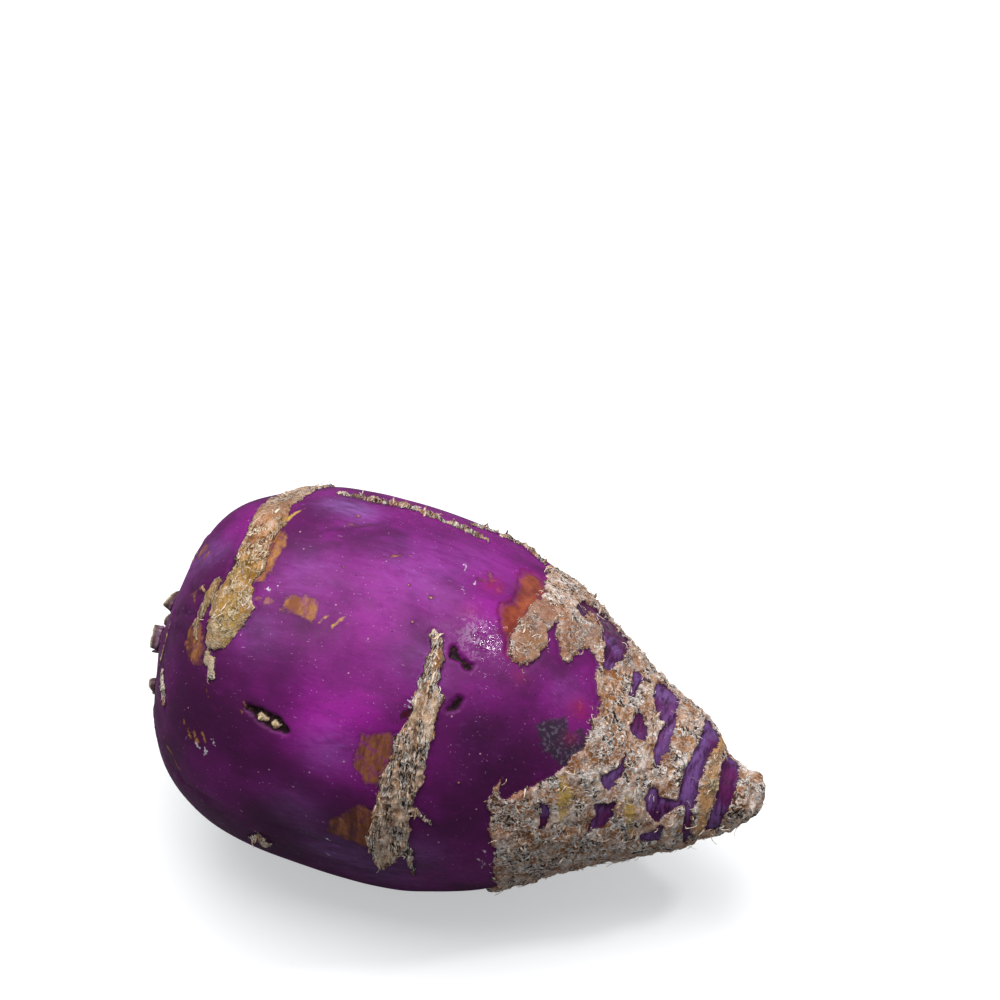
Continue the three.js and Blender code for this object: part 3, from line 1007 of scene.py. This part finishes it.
def larger(first, second):
    return compute("MAXIMUM", first, second)


def fade(value, low, high, start=0.0, end=1.0):
    inputs = {"Value": value, "From Min": low, "From Max": high, "To Min": start, "To Max": end}
    return addNode(value.tree, "ShaderNodeMapRange", inputs, interpolation_type="SMOOTHSTEP")


def blendColours(mask, under, over):
    inputs = {0: mask, 6: under, 7: over}
    return addNode(mask.tree, "ShaderNodeMix", inputs, 2, data_type="RGBA", blend_type="MIX")


def blendValues(mask, under, over):
    return addNode(mask.tree, "ShaderNodeMix", {0: mask, 2: under, 3: over}, data_type="FLOAT")


# Noise with grains of about the given size in mm
def grain(coords, size, detail=2.0, roughness=0.5, distortion=0.0):
    inputs = {"Vector": coords, "Scale": 1000 / size, "Detail": detail, "Roughness": roughness}
    return addNode(coords.tree, "ShaderNodeTexNoise", {**inputs, "Distortion": distortion})


def stretchedCoords(coords, scale, turn=(0, 0, 0)):
    return addNode(coords.tree, "ShaderNodeMapping", {"Vector": coords, "Rotation": turn, "Scale": scale})


def bumped(height, strength, distance):
    inputs = {"Height": height, "Strength": strength, "Distance": distance}
    return addNode(height.tree, "ShaderNodeBump", inputs)


def storedValue(tree, name):
    return addNode(tree, "ShaderNodeAttribute", output="Fac", attribute_name=name)


def objectCoords(tree):
    return addNode(tree, "ShaderNodeTexCoord", output="Object")


def newGroup(name, inputs, outputs):
    group = bpy.data.node_groups.new(name, "ShaderNodeTree")
    for socketName, kind, value in inputs:
        socket = group.interface.new_socket(socketName, in_out="INPUT", socket_type="NodeSocket" + kind)
        socket.default_value = value
    for socketName, kind in outputs:
        group.interface.new_socket(socketName, in_out="OUTPUT", socket_type="NodeSocket" + kind)
    sockets = group.nodes.new("NodeGroupInput").outputs
    given = {socket.name: Value(socket) for socket in sockets if socket.name}
    return group, given, group.nodes.new("NodeGroupOutput")


def useGroup(tree, group, **inputs):
    node = tree.nodes.new("ShaderNodeGroup")
    node.node_tree = group
    connect(node, {name[0].upper() + name[1:]: value for name, value in inputs.items()})
    return {socket.name: Value(socket) for socket in node.outputs}


# A mark's mask with a ragged edge, and a thin line along that edge
def buildRaggedEdge():
    inputs = [(name, "Float", 0.0) for name in ("Depth", "Ragged", "Softness", "Grain")]
    group, given, out = newGroup("raggedEdge", inputs, [("Mask", "Float"), ("Rim", "Float")])
    noise = {"Vector": objectCoords(group), "Scale": given["Grain"], "Detail": 3.0, "Roughness": 0.65}
    offset = (addNode(group, "ShaderNodeTexNoise", noise) - 0.5) * given["Ragged"]
    depth = given["Depth"] + offset * 2.0
    soft = {"Value": depth, "From Min": 0.0, "From Max": given["Softness"]}
    soft = addNode(group, "ShaderNodeMapRange", soft)
    connect(out, {"Mask": soft, "Rim": fade(abs(depth - 0.05), 0.0, 0.35, 1.0, 0.0)})
    return group


# Scattered dots: one in every cell, and only some of the cells
def buildSpecks():
    inputs = [(name, "Float", 0.0) for name in ("Scale", "Share", "Size")]
    group, given, out = newGroup("specks", inputs, [("Mask", "Float")])
    cells = {"Vector": objectCoords(group), "Scale": given["Scale"]}
    distance = addNode(group, "ShaderNodeTexVoronoi", cells, "Distance")
    dice = distance.socket.node.outputs["Color"]
    chance = addNode(group, "ShaderNodeSeparateColor", {0: Value(dice)})
    otherChance = Value(chance.socket.node.outputs[1])
    size = given["Size"] * (otherChance + 0.3)
    dot = addNode(group, "ShaderNodeMapRange", {"Value": distance, "From Min": size, "From Max": size * 0.6})
    connect(out, {"Mask": dot * compute("LESS_THAN", chance, given["Share"])})
    return group


# Crumbly dead tissue: chalky, tan and brown patches under small pale curls, with painted shadow in the
# grooves beside the curls and painted shade in the hollows
def buildCrumble():
    inputs = [
        ("Vector", "Vector", (0, 0, 0)), ("Relief", "Float", 0.0), ("Gaps", "Float", 1.0),
        ("Curl", "Float", 430.0),
        ("Zone", "Float", 170.0), ("Pale", "Color", paint(244, 232, 224)),
        ("Chalk", "Color", paint(180, 146, 124)),
        ("Tan", "Color", paint(172, 126, 94)), ("Brown", "Color", paint(136, 86, 46)),
        ("Dark", "Color", paint(60, 34, 26)),
    ]
    outputs = [("Color", "Color"), ("Height", "Float"), ("Curls", "Float"), ("ShadedCracks", "Float")]
    group, given, out = newGroup("crumble", inputs, outputs)
    coords, relief, gaps = given["Vector"], given["Relief"], given["Gaps"]

    def noise(vector, scale, detail, roughness=0.5, output=0):
        inputs = {"Vector": vector, "Scale": scale, "Detail": detail, "Roughness": roughness}
        return addNode(group, "ShaderNodeTexNoise", inputs, output)

    shake = noise(coords, 800.0, 3.0, output="Color")
    shake = addNode(group, "ShaderNodeVectorMath", {0: shake, "Scale": 0.0018}, operation="SCALE")
    bent = addNode(group, "ShaderNodeVectorMath", {0: coords, 1: shake}, operation="ADD")
    zone = (noise(coords, given["Zone"], 3.0, 0.6) - 0.5) * 2.0
    grit = noise(coords, 1500.0, 4.0, 0.75)
    busy = fade(noise(coords, 260.0, 2.0), 0.42, 0.53) * fade(noise(coords, 115.0, 2.0), 0.4, 0.52, 0.2, 1.0)
    # the relief term makes raised cork a little lighter and low cork a little darker: painted light and
    # shade
    tone = zone + relief * 0.07 + (grit - 0.5) * 0.3
    color = blendColours(fade(tone, -0.16, -0.05), given["Brown"], given["Tan"])
    color = blendColours(fade(tone, -0.04, 0.07), color, given["Chalk"])
    color = blendColours(fade(tone, 0.08, 0.3) * 0.7, color, given["Pale"])
    color = blendColours(fade(grit, 0.46, 0.3) * 0.4, color, given["Brown"])
    # painted shade: the hollow mask darkens the cork where the relief is low, mixed with random dark patches
    hollow = relief * -0.25 + noise(bent, 330.0, 3.0, 0.6)
    hollow = fade(hollow, 0.6, 0.8, 0.0, 0.8) * (busy * gaps)
    color = blendColours(hollow, color, given["Dark"])
    height = grit * 0.9
    curls, shadedCracks = 0.0, hollow * 0.5
    for scale, width, share in ((given["Curl"], 0.04, 1.0), (860.0, 0.045, 0.8)):
        lines = noise(bent, scale, 1.5, 0.55)
        ridge = fade(abs(lines - 0.5), width * 0.4, width * 1.5, share, 0.0)
        # the dark line beside each pale curl sits in a groove of the bump, and its dark colour is painted
        # shadow
        gap = fade(abs(lines - (0.5 - 2.6 * width)), width * 0.4, width * 1.9, share, 0.0)
        gap = gap * (busy * fade(grit, 0.66, 0.48)) * gaps
        ridge = ridge * fade(grit, 0.36, 0.5, 0.15, 1.0) * (busy * 0.82 + 0.18)
        color = blendColours(gap, color, given["Dark"])
        color = blendColours(ridge, color, given["Pale"])
        height = height + (ridge * 0.9 - gap)
        curls = larger(curls, ridge)
        shadedCracks = larger(shadedCracks, gap)
    connect(out, {"Color": color, "Height": height, "Curls": curls, "ShadedCracks": shadedCracks})
    return group


raggedEdge = buildRaggedEdge()
specks = buildSpecks()
crumble = buildCrumble()


def newMaterial(name):
    material = bpy.data.materials.new(name)
    material.use_nodes = True
    tree = material.node_tree
    return material, tree, tree.nodes["Principled BSDF"]


skinLook = {
    "deep": paint(78, 14, 72),
    "plum": paint(114, 20, 108),
    "magenta": paint(150, 24, 142),
    "darkMottleAndShade": paint(44, 12, 42),
    "bloomAndSheen": paint(158, 114, 190),
    "islandDeep": paint(40, 10, 40),
    "islandMagenta": paint(90, 22, 78),
    "islandLight": paint(116, 82, 142),
}


# The look of the skin so far, to which one mark after another is added
class Look:
    def __init__(self, tree):
        self.tree = tree
        self.color = self.roughness = None

    def stored(self, name):
        return storedValue(self.tree, name)

    def dots(self, scale, share, size):
        return useGroup(self.tree, specks, scale=scale, share=share, size=size)["Mask"]

    def edge(self, name, ragged, softness, grainScale):
        form = {"depth": self.stored(name), "ragged": ragged, "softness": softness, "grain": grainScale}
        return useGroup(self.tree, raggedEdge, **form)

    def tint(self, mask, share, color):
        self.color = blendColours(mask * share, self.color, color)

    # Lays one kind of mark over everything, with a thin dark line round it
    def lay(self, name, ragged, softness, grainScale, top, rimColor, rimShare, roughness, cover=1.0):
        edge = self.edge(name, ragged, softness, grainScale)
        mask = edge["Mask"] * cover
        self.color = blendColours(mask, blendColours(edge["Rim"] * rimShare, self.color, rimColor), top)
        self.roughness = blendValues(mask, self.roughness, roughness)
        return mask


def skinMaterial():
    material, tree, shader = newMaterial("purpleSkin")
    look = Look(tree)
    stored, dots, edge, tint, lay = look.stored, look.dots, look.edge, look.tint, look.lay
    tones = skinLook
    coords = objectCoords(tree)
    relief = stored("relief")

    broad = grain(coords, 17, 3)
    middle = grain(coords, 4.5, 4, 0.6)
    fine = grain(coords, 0.9, 3, 0.6)
    # streaks run from the crown towards the root
    lengthwise = stretchedCoords(coords, (0.3, 1, 1))
    streaks = grain(lengthwise, 2.6, 5, 0.65, 0.4)
    thinStreaks = grain(lengthwise, 0.9, 4, 0.6, 0.3)
    look.color = blendColours(fade(broad, 0.38, 0.64), tones["deep"], tones["plum"])
    # magenta spots: partly the skin's own tone, partly painted highlight where the bulges and top face the
    # light
    tint(stored("pinkAndHighlight"), 1.0, tones["magenta"])
    tint(fade(streaks, 0.52, 0.72), 0.22, tones["magenta"])
    # painted shade: dark spots on the lower front of the skin
    tint(stored("darkMottleAndShade"), 0.75, tones["darkMottleAndShade"])
    # painted shade: the skin is darker where it faces down
    tint(stored("underside"), 0.6, tones["darkMottleAndShade"])
    tint(fade(streaks, 0.5, 0.3), 0.3, tones["deep"])
    tint(fade(middle, 0.5, 0.8), 0.35, tones["deep"])
    tint(fade(fine, 0.55, 0.8), 0.3, tones["darkMottleAndShade"])
    # wax bloom together with painted sheen and reflection on the upper skin and the bulge
    bloomAndSheenStreaks = fade(streaks, 0.34, 0.6, 0.25, 0.6) + fade(thinStreaks, 0.4, 0.7, 0.0, 0.3)
    tint(stored("bloomAndSheen") * bloomAndSheenStreaks, 0.5, tones["bloomAndSheen"])
    tint(fade(thinStreaks, 0.55, 0.75) * fade(broad, 0.45, 0.6), 0.08, tones["bloomAndSheen"])
    # painted shade in the creases
    tint(stored("creaseShade"), 0.4, tones["darkMottleAndShade"])
    tint(stored("stubFoot") * fade(thinStreaks, 0.42, 0.58), 0.4, paint(150, 132, 92))

    # the bare skin between the cork is bluer, and streaked round the stem
    streakCoords = stretchedCoords(coords, (1.8, 0.4, 0.4))
    islandStreaks = grain(streakCoords, 2.4, 5, 0.75)
    islandColor = blendColours(fade(broad, 0.44, 0.56), tones["islandMagenta"], tones["islandLight"])
    islandColor = blendColours(fade(islandStreaks, 0.36, 0.58), tones["islandDeep"], islandColor)
    # painted shade along the edges of the bare skin, below the raised cork
    islandEdgeShade = fade(stored("island"), 0.9, 0.1, 0.0, 0.5)
    islandColor = blendColours(islandEdgeShade, islandColor, tones["islandDeep"])
    tint(stored("rootSkin"), 0.85, islandColor)

    # specks, pores and light scratches, and pale specks painted as sparkle highlights
    tint(dots(380.0, 0.3, 0.09), 0.5, paint(220, 170, 190))
    # pale specks painted as fine sparkle highlights
    tint(dots(950.0, 0.45, 0.14) * fade(broad, 0.4, 0.56), 0.45, paint(208, 150, 204))
    tint(dots(620.0, 0.2, 0.15) * fade(broad, 0.4, 0.6, 0.25, 1.0), 0.75, paint(34, 8, 26))
    tint(dots(900.0, 0.6, 0.3) * (stored("freckle") * fade(middle, 0.42, 0.58)), 0.8, paint(52, 12, 26))
    for turn, size in ((0.5, 1.4), (-0.9, 2.1)):
        bent = stretchedCoords(coords, (1, 7, 1), (turn, turn, 0))
        tint(fade(grain(bent, size, 2, 0.4), 0.745, 0.78), 0.35, paint(200, 160, 210))
    wet = stored("wet")
    look.roughness = fade(middle, 0.3, 0.7, 0.44, 0.58)
    look.roughness = blendValues(wet * fade(fine, 0.4, 0.5), look.roughness, 0.12)
    ripple = grain(coords, 1.4, 1.5, 0.5)
    height = fine * 0.3 + middle * 0.5 + streaks * 0.3 + wet * ripple * 3.0
    height = height + stored("rootSkin") * islandStreaks * 2.4

    bruise = edge("bruise", 2.4, 1.1, 420.0)["Mask"]
    tint(bruise * fade(streaks, 0.3, 0.5, 0.4, 1.0), 0.85, paint(44, 38, 48))
    tint(bruise * fade(fine, 0.5, 0.66), 0.4, paint(120, 110, 128))
    tint(stored("redSpot") * fade(fine, 0.3, 0.6, 0.4, 1.0), 0.6, paint(140, 22, 70))

    # brown films, the raw wound, small streaks and the scars of the topmost leaves
    stainTone = grain(streakCoords, 5.0, 4, 0.6, 0.5)
    stainDark = blendColours(stored("ochre"), paint(84, 46, 34), paint(124, 72, 42))
    stainLight = blendColours(stored("ochre"), paint(142, 86, 56), paint(176, 124, 72))
    stainColor = blendColours(fade(stainTone, 0.36, 0.64), stainDark, stainLight)
    stainColor = blendColours(fade(fine, 0.5, 0.7, 0.0, 0.5), stainColor, stainDark)
    thinned = fade(grain(coords, 1.7, 4, 0.65), 0.36, 0.54, 0.45, 1.0)
    lay("stain", 1.5, 0.9, 520.0, stainColor, paint(52, 18, 40), 0.4, 0.6, thinned)
    woundTone = fade(grain(coords, 5.0, 4, 0.55), 0.4, 0.6)
    woundColor = blendColours(woundTone, paint(112, 46, 38), paint(144, 70, 46))
    woundColor = blendColours(fade(fine, 0.56, 0.74, 0.0, 0.6), woundColor, paint(88, 32, 28))
    lay("wound", 1.6, 2.2, 380.0, woundColor, paint(120, 16, 60), 0.7, 0.24)
    lay("rosy", 0.8, 0.8, 700.0, paint(160, 62, 74), paint(120, 16, 60), 0.4, 0.35, 0.7)
    lay("tanStreak", 0.7, 0.5, 900.0, paint(164, 112, 66), paint(70, 24, 36), 0.6, 0.5)
    lay("gash", 0.6, 0.3, 900.0, paint(62, 8, 30), paint(30, 6, 24), 0.8, 0.4)
    leafTone = fade(grain(coords, 1.6, 3, 0.6), 0.36, 0.62)
    leafMark = blendColours(leafTone, paint(168, 136, 84), paint(216, 200, 148))
    leafMark = blendColours(dots(800.0, 0.7, 0.3) * 0.6, leafMark, paint(118, 104, 48))
    lay("crownScar", 0.6, 0.25, 700.0, leafMark, paint(58, 26, 40), 0.9, 0.6)
    lay("wart", 0.3, 0.2, 900.0, paint(184, 132, 108), paint(60, 14, 40), 0.9, 0.5)

    # the leaf scars and the cork
    amber = stored("ochre")
    fibreCoords = stretchedCoords(coords, (2.0, 0.5, 0.5))
    curlCoords = stretchedCoords(coords, (1.2, 0.8, 0.8))
    bothCoords = {0: amber, 4: fibreCoords, 5: curlCoords}
    woodCoords = addNode(tree, "ShaderNodeMix", bothCoords, 1, data_type="VECTOR")
    woodLook = {
        "pale": blendColours(amber, paint(236, 212, 186), paint(252, 232, 214)),
        "chalk": blendColours(amber, paint(184, 148, 120), paint(184, 136, 88)),
        "tan": blendColours(amber, paint(146, 104, 76), paint(156, 106, 52)),
        "brown": blendColours(amber, paint(98, 66, 48), paint(112, 70, 30)),
        "dark": blendColours(amber, paint(42, 26, 20), paint(62, 34, 20)),
    }
    gaps = fade(amber, 0.2, 0.8, 1.0, 0.5)
    wood = useGroup(tree, crumble, vector=woodCoords, relief=relief, gaps=gaps, curl=420.0, **woodLook)
    # the dark line round the raised leaf scars is painted shadow
    scarMask = lay("scar", 0.5, 0.1, 900.0, wood["Color"], paint(30, 12, 18), 0.85, 0.8)
    tenderMask = fade(stored("tender"), -0.3, 1.2)
    shadeMask = stored("shade")
    deadGaps = compute("SUBTRACT", 0.85 + shadeMask * 0.4, tenderMask * 0.55, clamp=True)
    dead = useGroup(tree, crumble, vector=coords, relief=relief, gaps=deadGaps)
    # the dark line round the raised cork is painted shadow
    corkMask = lay("cork", 0.8, 0.12, 800.0, dead["Color"], paint(44, 20, 24), 0.7, 0.88)
    patches = grain(coords, 6.5, 3, 0.6)
    dry = larger(scarMask, corkMask)
    tint(dry * fade(patches, 0.54, 0.64), 0.55, paint(160, 106, 52))
    tint(corkMask * fade(patches, 0.46, 0.38), 0.3, paint(206, 182, 166))
    fringe = corkMask * fade(stored("cork"), 0.1, 1.1, 1.0, 0.0)
    tint(fringe * fade(middle, 0.4, 0.55), 0.55, paint(132, 76, 72))
    tint(edge("tender", 1.5, 1.5, 500.0)["Mask"] * corkMask, 0.65, paint(146, 102, 80))
    tint(edge("plate", 0.7, 0.7, 500.0)["Mask"] * corkMask, 0.85, paint(188, 142, 94))

    # sap, holes, kernels and the warmer and darker parts
    pitColor = blendColours(fade(fine, 0.52, 0.66), paint(24, 12, 12), paint(66, 46, 34))
    kernelColor = blendColours(fade(fine, 0.4, 0.6), paint(150, 124, 92), paint(206, 186, 150))
    for name, share, color in (("fresh", 0.8, paint(196, 160, 66)), ("pit", 0.95, pitColor)):
        mask = edge(name, 0.6, 0.5, 700.0)["Mask"]
        tint(mask, share, color)
        look.roughness = blendValues(mask, look.roughness, 0.9)
    tint(edge("kernel", 0.5, 0.3, 900.0)["Mask"], 1.0, kernelColor)
    tint(stored("rosyBark") * dry * fade(middle, 0.3, 0.6, 0.5, 1.0), 0.4, paint(166, 108, 92))
    tint(stored("golden") * dry * fade(fine, 0.66, 0.46), 0.6, paint(148, 108, 40))
    tint(shadeMask * dry * fade(fine, 0.62, 0.44), 0.5, paint(66, 48, 36))
    tint(stored("beige") * scarMask, 0.6, paint(216, 196, 162))
    tint(stored("olive") * scarMask, 0.6, paint(158, 130, 50))
    tint(stored("rust") * dry, 0.6, paint(158, 88, 44))

    # painted shade in the cracks and hollows, painted shadow beside the curls, and pale curls, drawn over
    # everything dry
    smooth = larger(tenderMask * 0.6, fade(stored("plate"), -0.2, 0.8, 0.0, 0.85))
    rough = dry * (1.0 - smooth)
    shadedCracks = rough * blendValues(scarMask, dead["ShadedCracks"], wood["ShadedCracks"])
    tint(shadedCracks, 0.85, blendColours(amber, paint(40, 22, 18), paint(66, 36, 16)))
    curls = rough * blendValues(scarMask, dead["Curls"], wood["Curls"]) * fade(stored("pit"), 0.0, -0.3)
    curls = compute("MULTIPLY", curls, 1.0 + shadeMask * 0.6, clamp=True)
    tint(curls, 0.8, blendColours(amber, paint(254, 246, 238), paint(246, 222, 184)))
    tint(edge("scratch", 0.8, 0.2, 1200.0)["Mask"], 0.85, paint(206, 198, 208))

    height = blendValues(dry, height, blendValues(scarMask, dead["Height"], wood["Height"]) * 3.6)
    drops = wet * fade(grain(coords, 2.4, 2, 0.5), 0.44, 0.5)
    connect(shader, {
        "Base Color": look.color,
        "Roughness": look.roughness,
        "Normal": bumped(height, 0.9, 0.16 * mm),
        "Coat Weight": drops * (1.0 - dry),
        "Coat Normal": bumped(ripple, 1.0, 0.4 * mm),
        "Coat Roughness": 0.05,
        "Specular IOR Level": 0.16,
    })
    return material


def dryMaterial(name, pale, middle, dark, stretch=(1, 1, 1)):
    material, tree, shader = newMaterial(name)
    coords = stretchedCoords(objectCoords(tree), stretch)
    tone = grain(coords, 1.6, 4, 0.65)
    color = blendColours(fade(tone, 0.36, 0.5), dark, middle)
    connect(shader, {
        "Base Color": blendColours(fade(tone, 0.48, 0.64), color, pale),
        "Normal": bumped(grain(coords, 0.5, 3, 0.6), 0.6, 0.12 * mm),
        "Roughness": fade(tone, 0.3, 0.7, 0.55, 0.8),
    })
    return material


# Cut stalks: mauve ribbed sides, a brown dried rim, and a pale cut face with green vessels
def stalkMaterial(name, low, high, edge, cutDark, cutPale, green):
    material, tree, shader = newMaterial(name)
    look = Look(tree)
    coords = objectCoords(tree)
    ribs = grain(stretchedCoords(coords, (0.3, 1, 1)), 1.0, 4, 0.6)
    fine = grain(coords, 0.6, 3, 0.6)
    color = blendColours(fade(ribs, 0.4, 0.62), low, high)
    color = blendColours(fade(fine, 0.5, 0.64) * 0.35, color, edge)
    color = blendColours(look.stored("rim") * fade(ribs, 0.3, 0.5, 0.5, 1.0), color, edge)
    face = blendColours(fade(fine, 0.4, 0.6), cutDark, cutPale)
    ring = fade(look.stored("middle"), 0.25, 0.5)
    face = blendColours(look.dots(900.0, 0.6, 0.3) * ring, face, green)
    connect(shader, {
        "Base Color": blendColours(look.stored("cut"), color, face),
        "Roughness": fade(fine, 0.35, 0.65, 0.45, 0.7),
        "Normal": bumped(ribs + fine * 0.4, 0.7, 0.3 * mm),
    })
    return material


camera = {
    "azimuth": math.radians(17.25),
    "elevation": math.radians(41),
    "distance": 615 * mm,
    "lens": 85,
    "sensor": 36,
    "widestRing": (-28.33 * mm, -1.32 * mm, 48.345 * mm),  # where the middle of the widest ring lies
    # the middle of the picture lies this far right of it and above it
    "right": 39.66 * mm,
    "up": 47.8 * mm,
}


def placeCamera():
    azimuth, elevation = camera["azimuth"], camera["elevation"]
    level = math.cos(elevation)
    back = Vector((math.sin(azimuth) * level, -math.cos(azimuth) * level, math.sin(elevation)))
    right = Vector((math.cos(azimuth), math.sin(azimuth), 0))
    up = back.cross(right)
    ring = Vector(camera["widestRing"])
    data = bpy.data.cameras.new("camera")
    data.lens = camera["lens"]
    data.sensor_width = camera["sensor"]
    eye = bpy.data.objects.new("camera", data)
    eye.location = ring + right * camera["right"] + up * camera["up"] + back * camera["distance"]
    eye.rotation_mode = "QUATERNION"
    eye.rotation_quaternion = (-back).to_track_quat("-Z", "Y")
    bpy.context.scene.collection.objects.link(eye)
    bpy.context.scene.camera = eye


studio = {
    "floorSize": 3.0,
    "glintFrom": (0.51, 0.15, 0.84),
    "glintSize": 0.1,
    "glintPower": 1.8,
    "keyFrom": (-0.14, 0.0, 0.99),
    "keyDistance": 0.9,
    "keySize": 0.75,
    "keyPower": 9.0,
    "world": 0.42,
    "worldColor": (0.92, 0.95, 1.0, 1),
    # as the camera sees the floor, and as the light that bounces off it does
    "floorSeen": (0.6, 0.6, 0.6, 1),
    "floorBounce": (0.2, 0.2, 0.2, 1),
    "glowSeen": (0.98, 0.99, 1, 1),
    "glowBounce": (0, 0, 0, 1),
    "glow": 0.45,
}


def buildStudio():
    bpy.ops.mesh.primitive_plane_add(size=studio["floorSize"], location=(0, 0, 0))
    floor = bpy.context.object
    floor.name = "floor"
    material, tree, shader = newMaterial("paleFloor")
    seen = addNode(tree, "ShaderNodeLightPath", output="Is Camera Ray")
    connect(shader, {
        "Base Color": blendColours(seen, studio["floorBounce"], studio["floorSeen"]),
        "Emission Color": blendColours(seen, studio["glowBounce"], studio["glowSeen"]),
        "Emission Strength": studio["glow"],
        "Roughness": 0.9,
        "Specular IOR Level": 0.1,
    })
    floor.data.materials.append(material)
    for name in ("key", "glint"):
        towards = Vector(studio[name + "From"]).normalized()
        data = bpy.data.lights.new(name, "AREA")
        data.size = studio[name + "Size"]
        data.energy = studio[name + "Power"]
        lamp = bpy.data.objects.new(name, data)
        lamp.location = towards * studio["keyDistance"]
        lamp.rotation_mode = "QUATERNION"
        lamp.rotation_quaternion = towards.to_track_quat("Z", "Y")
        bpy.context.scene.collection.objects.link(lamp)
    world = bpy.data.worlds.new("studio")
    world.use_nodes = True
    sky = world.node_tree.nodes["Background"]
    connect(sky, {"Color": studio["worldColor"], "Strength": studio["world"]})
    bpy.context.scene.world = world
    bpy.context.scene.view_settings.view_transform = "Standard"


print("camera and studio")
placeCamera()
buildStudio()

print("bulb skin")
bulbSkin = evenCopy("bulb", "bulbSkin", bulbForm, 3)
shapeBulb(bulbSkin)
bulbSkin.data.materials.append(skinMaterial())
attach(bulbSkin, "root")
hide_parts("bulb")

print("dry pieces on the cork")
*corkFibres, corkCrumbs, scarFlakes = dressCork(bulbSkin)
paleFibre = dryMaterial("paleFibre", paint(250, 240, 228), paint(232, 208, 186), paint(176, 132, 96))
crumbBrown = dryMaterial("crumbBrown", paint(232, 210, 188), paint(180, 140, 104), paint(96, 62, 40))
flakeWood = dryMaterial("flakeWood", paint(230, 212, 192), paint(172, 138, 108), paint(92, 64, 46),
                        stretch=(2.0, 0.5, 0.5))
dressing = [(fibres, paleFibre) for fibres in corkFibres]
dressing += [(corkCrumbs, crumbBrown), (scarFlakes, flakeWood)]
for piece, material in dressing:
    piece.data.materials.append(material)
    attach(piece, "root")

print("crown")
stalkMauve = stalkMaterial("stalkMauve", paint(88, 44, 84), paint(138, 104, 128), paint(74, 44, 34),
                           paint(150, 128, 98), paint(206, 192, 160), paint(128, 138, 62))
budGreen = stalkMaterial("budGreen", paint(86, 34, 82), paint(120, 128, 74), paint(60, 28, 52),
                         paint(120, 120, 60), paint(180, 180, 110), paint(90, 110, 50))
for order, name in enumerate(stubNames):
    stub = shapeStub(name, order)
    stub.data.materials.append(stalkMauve)
    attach(stub, "root")
    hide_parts(name)
bud = shapeBud()
budLeaves = dressBud(bud)
for piece in (bud, budLeaves):
    piece.data.materials.append(budGreen)
    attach(piece, "root")
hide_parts("crown_bud")
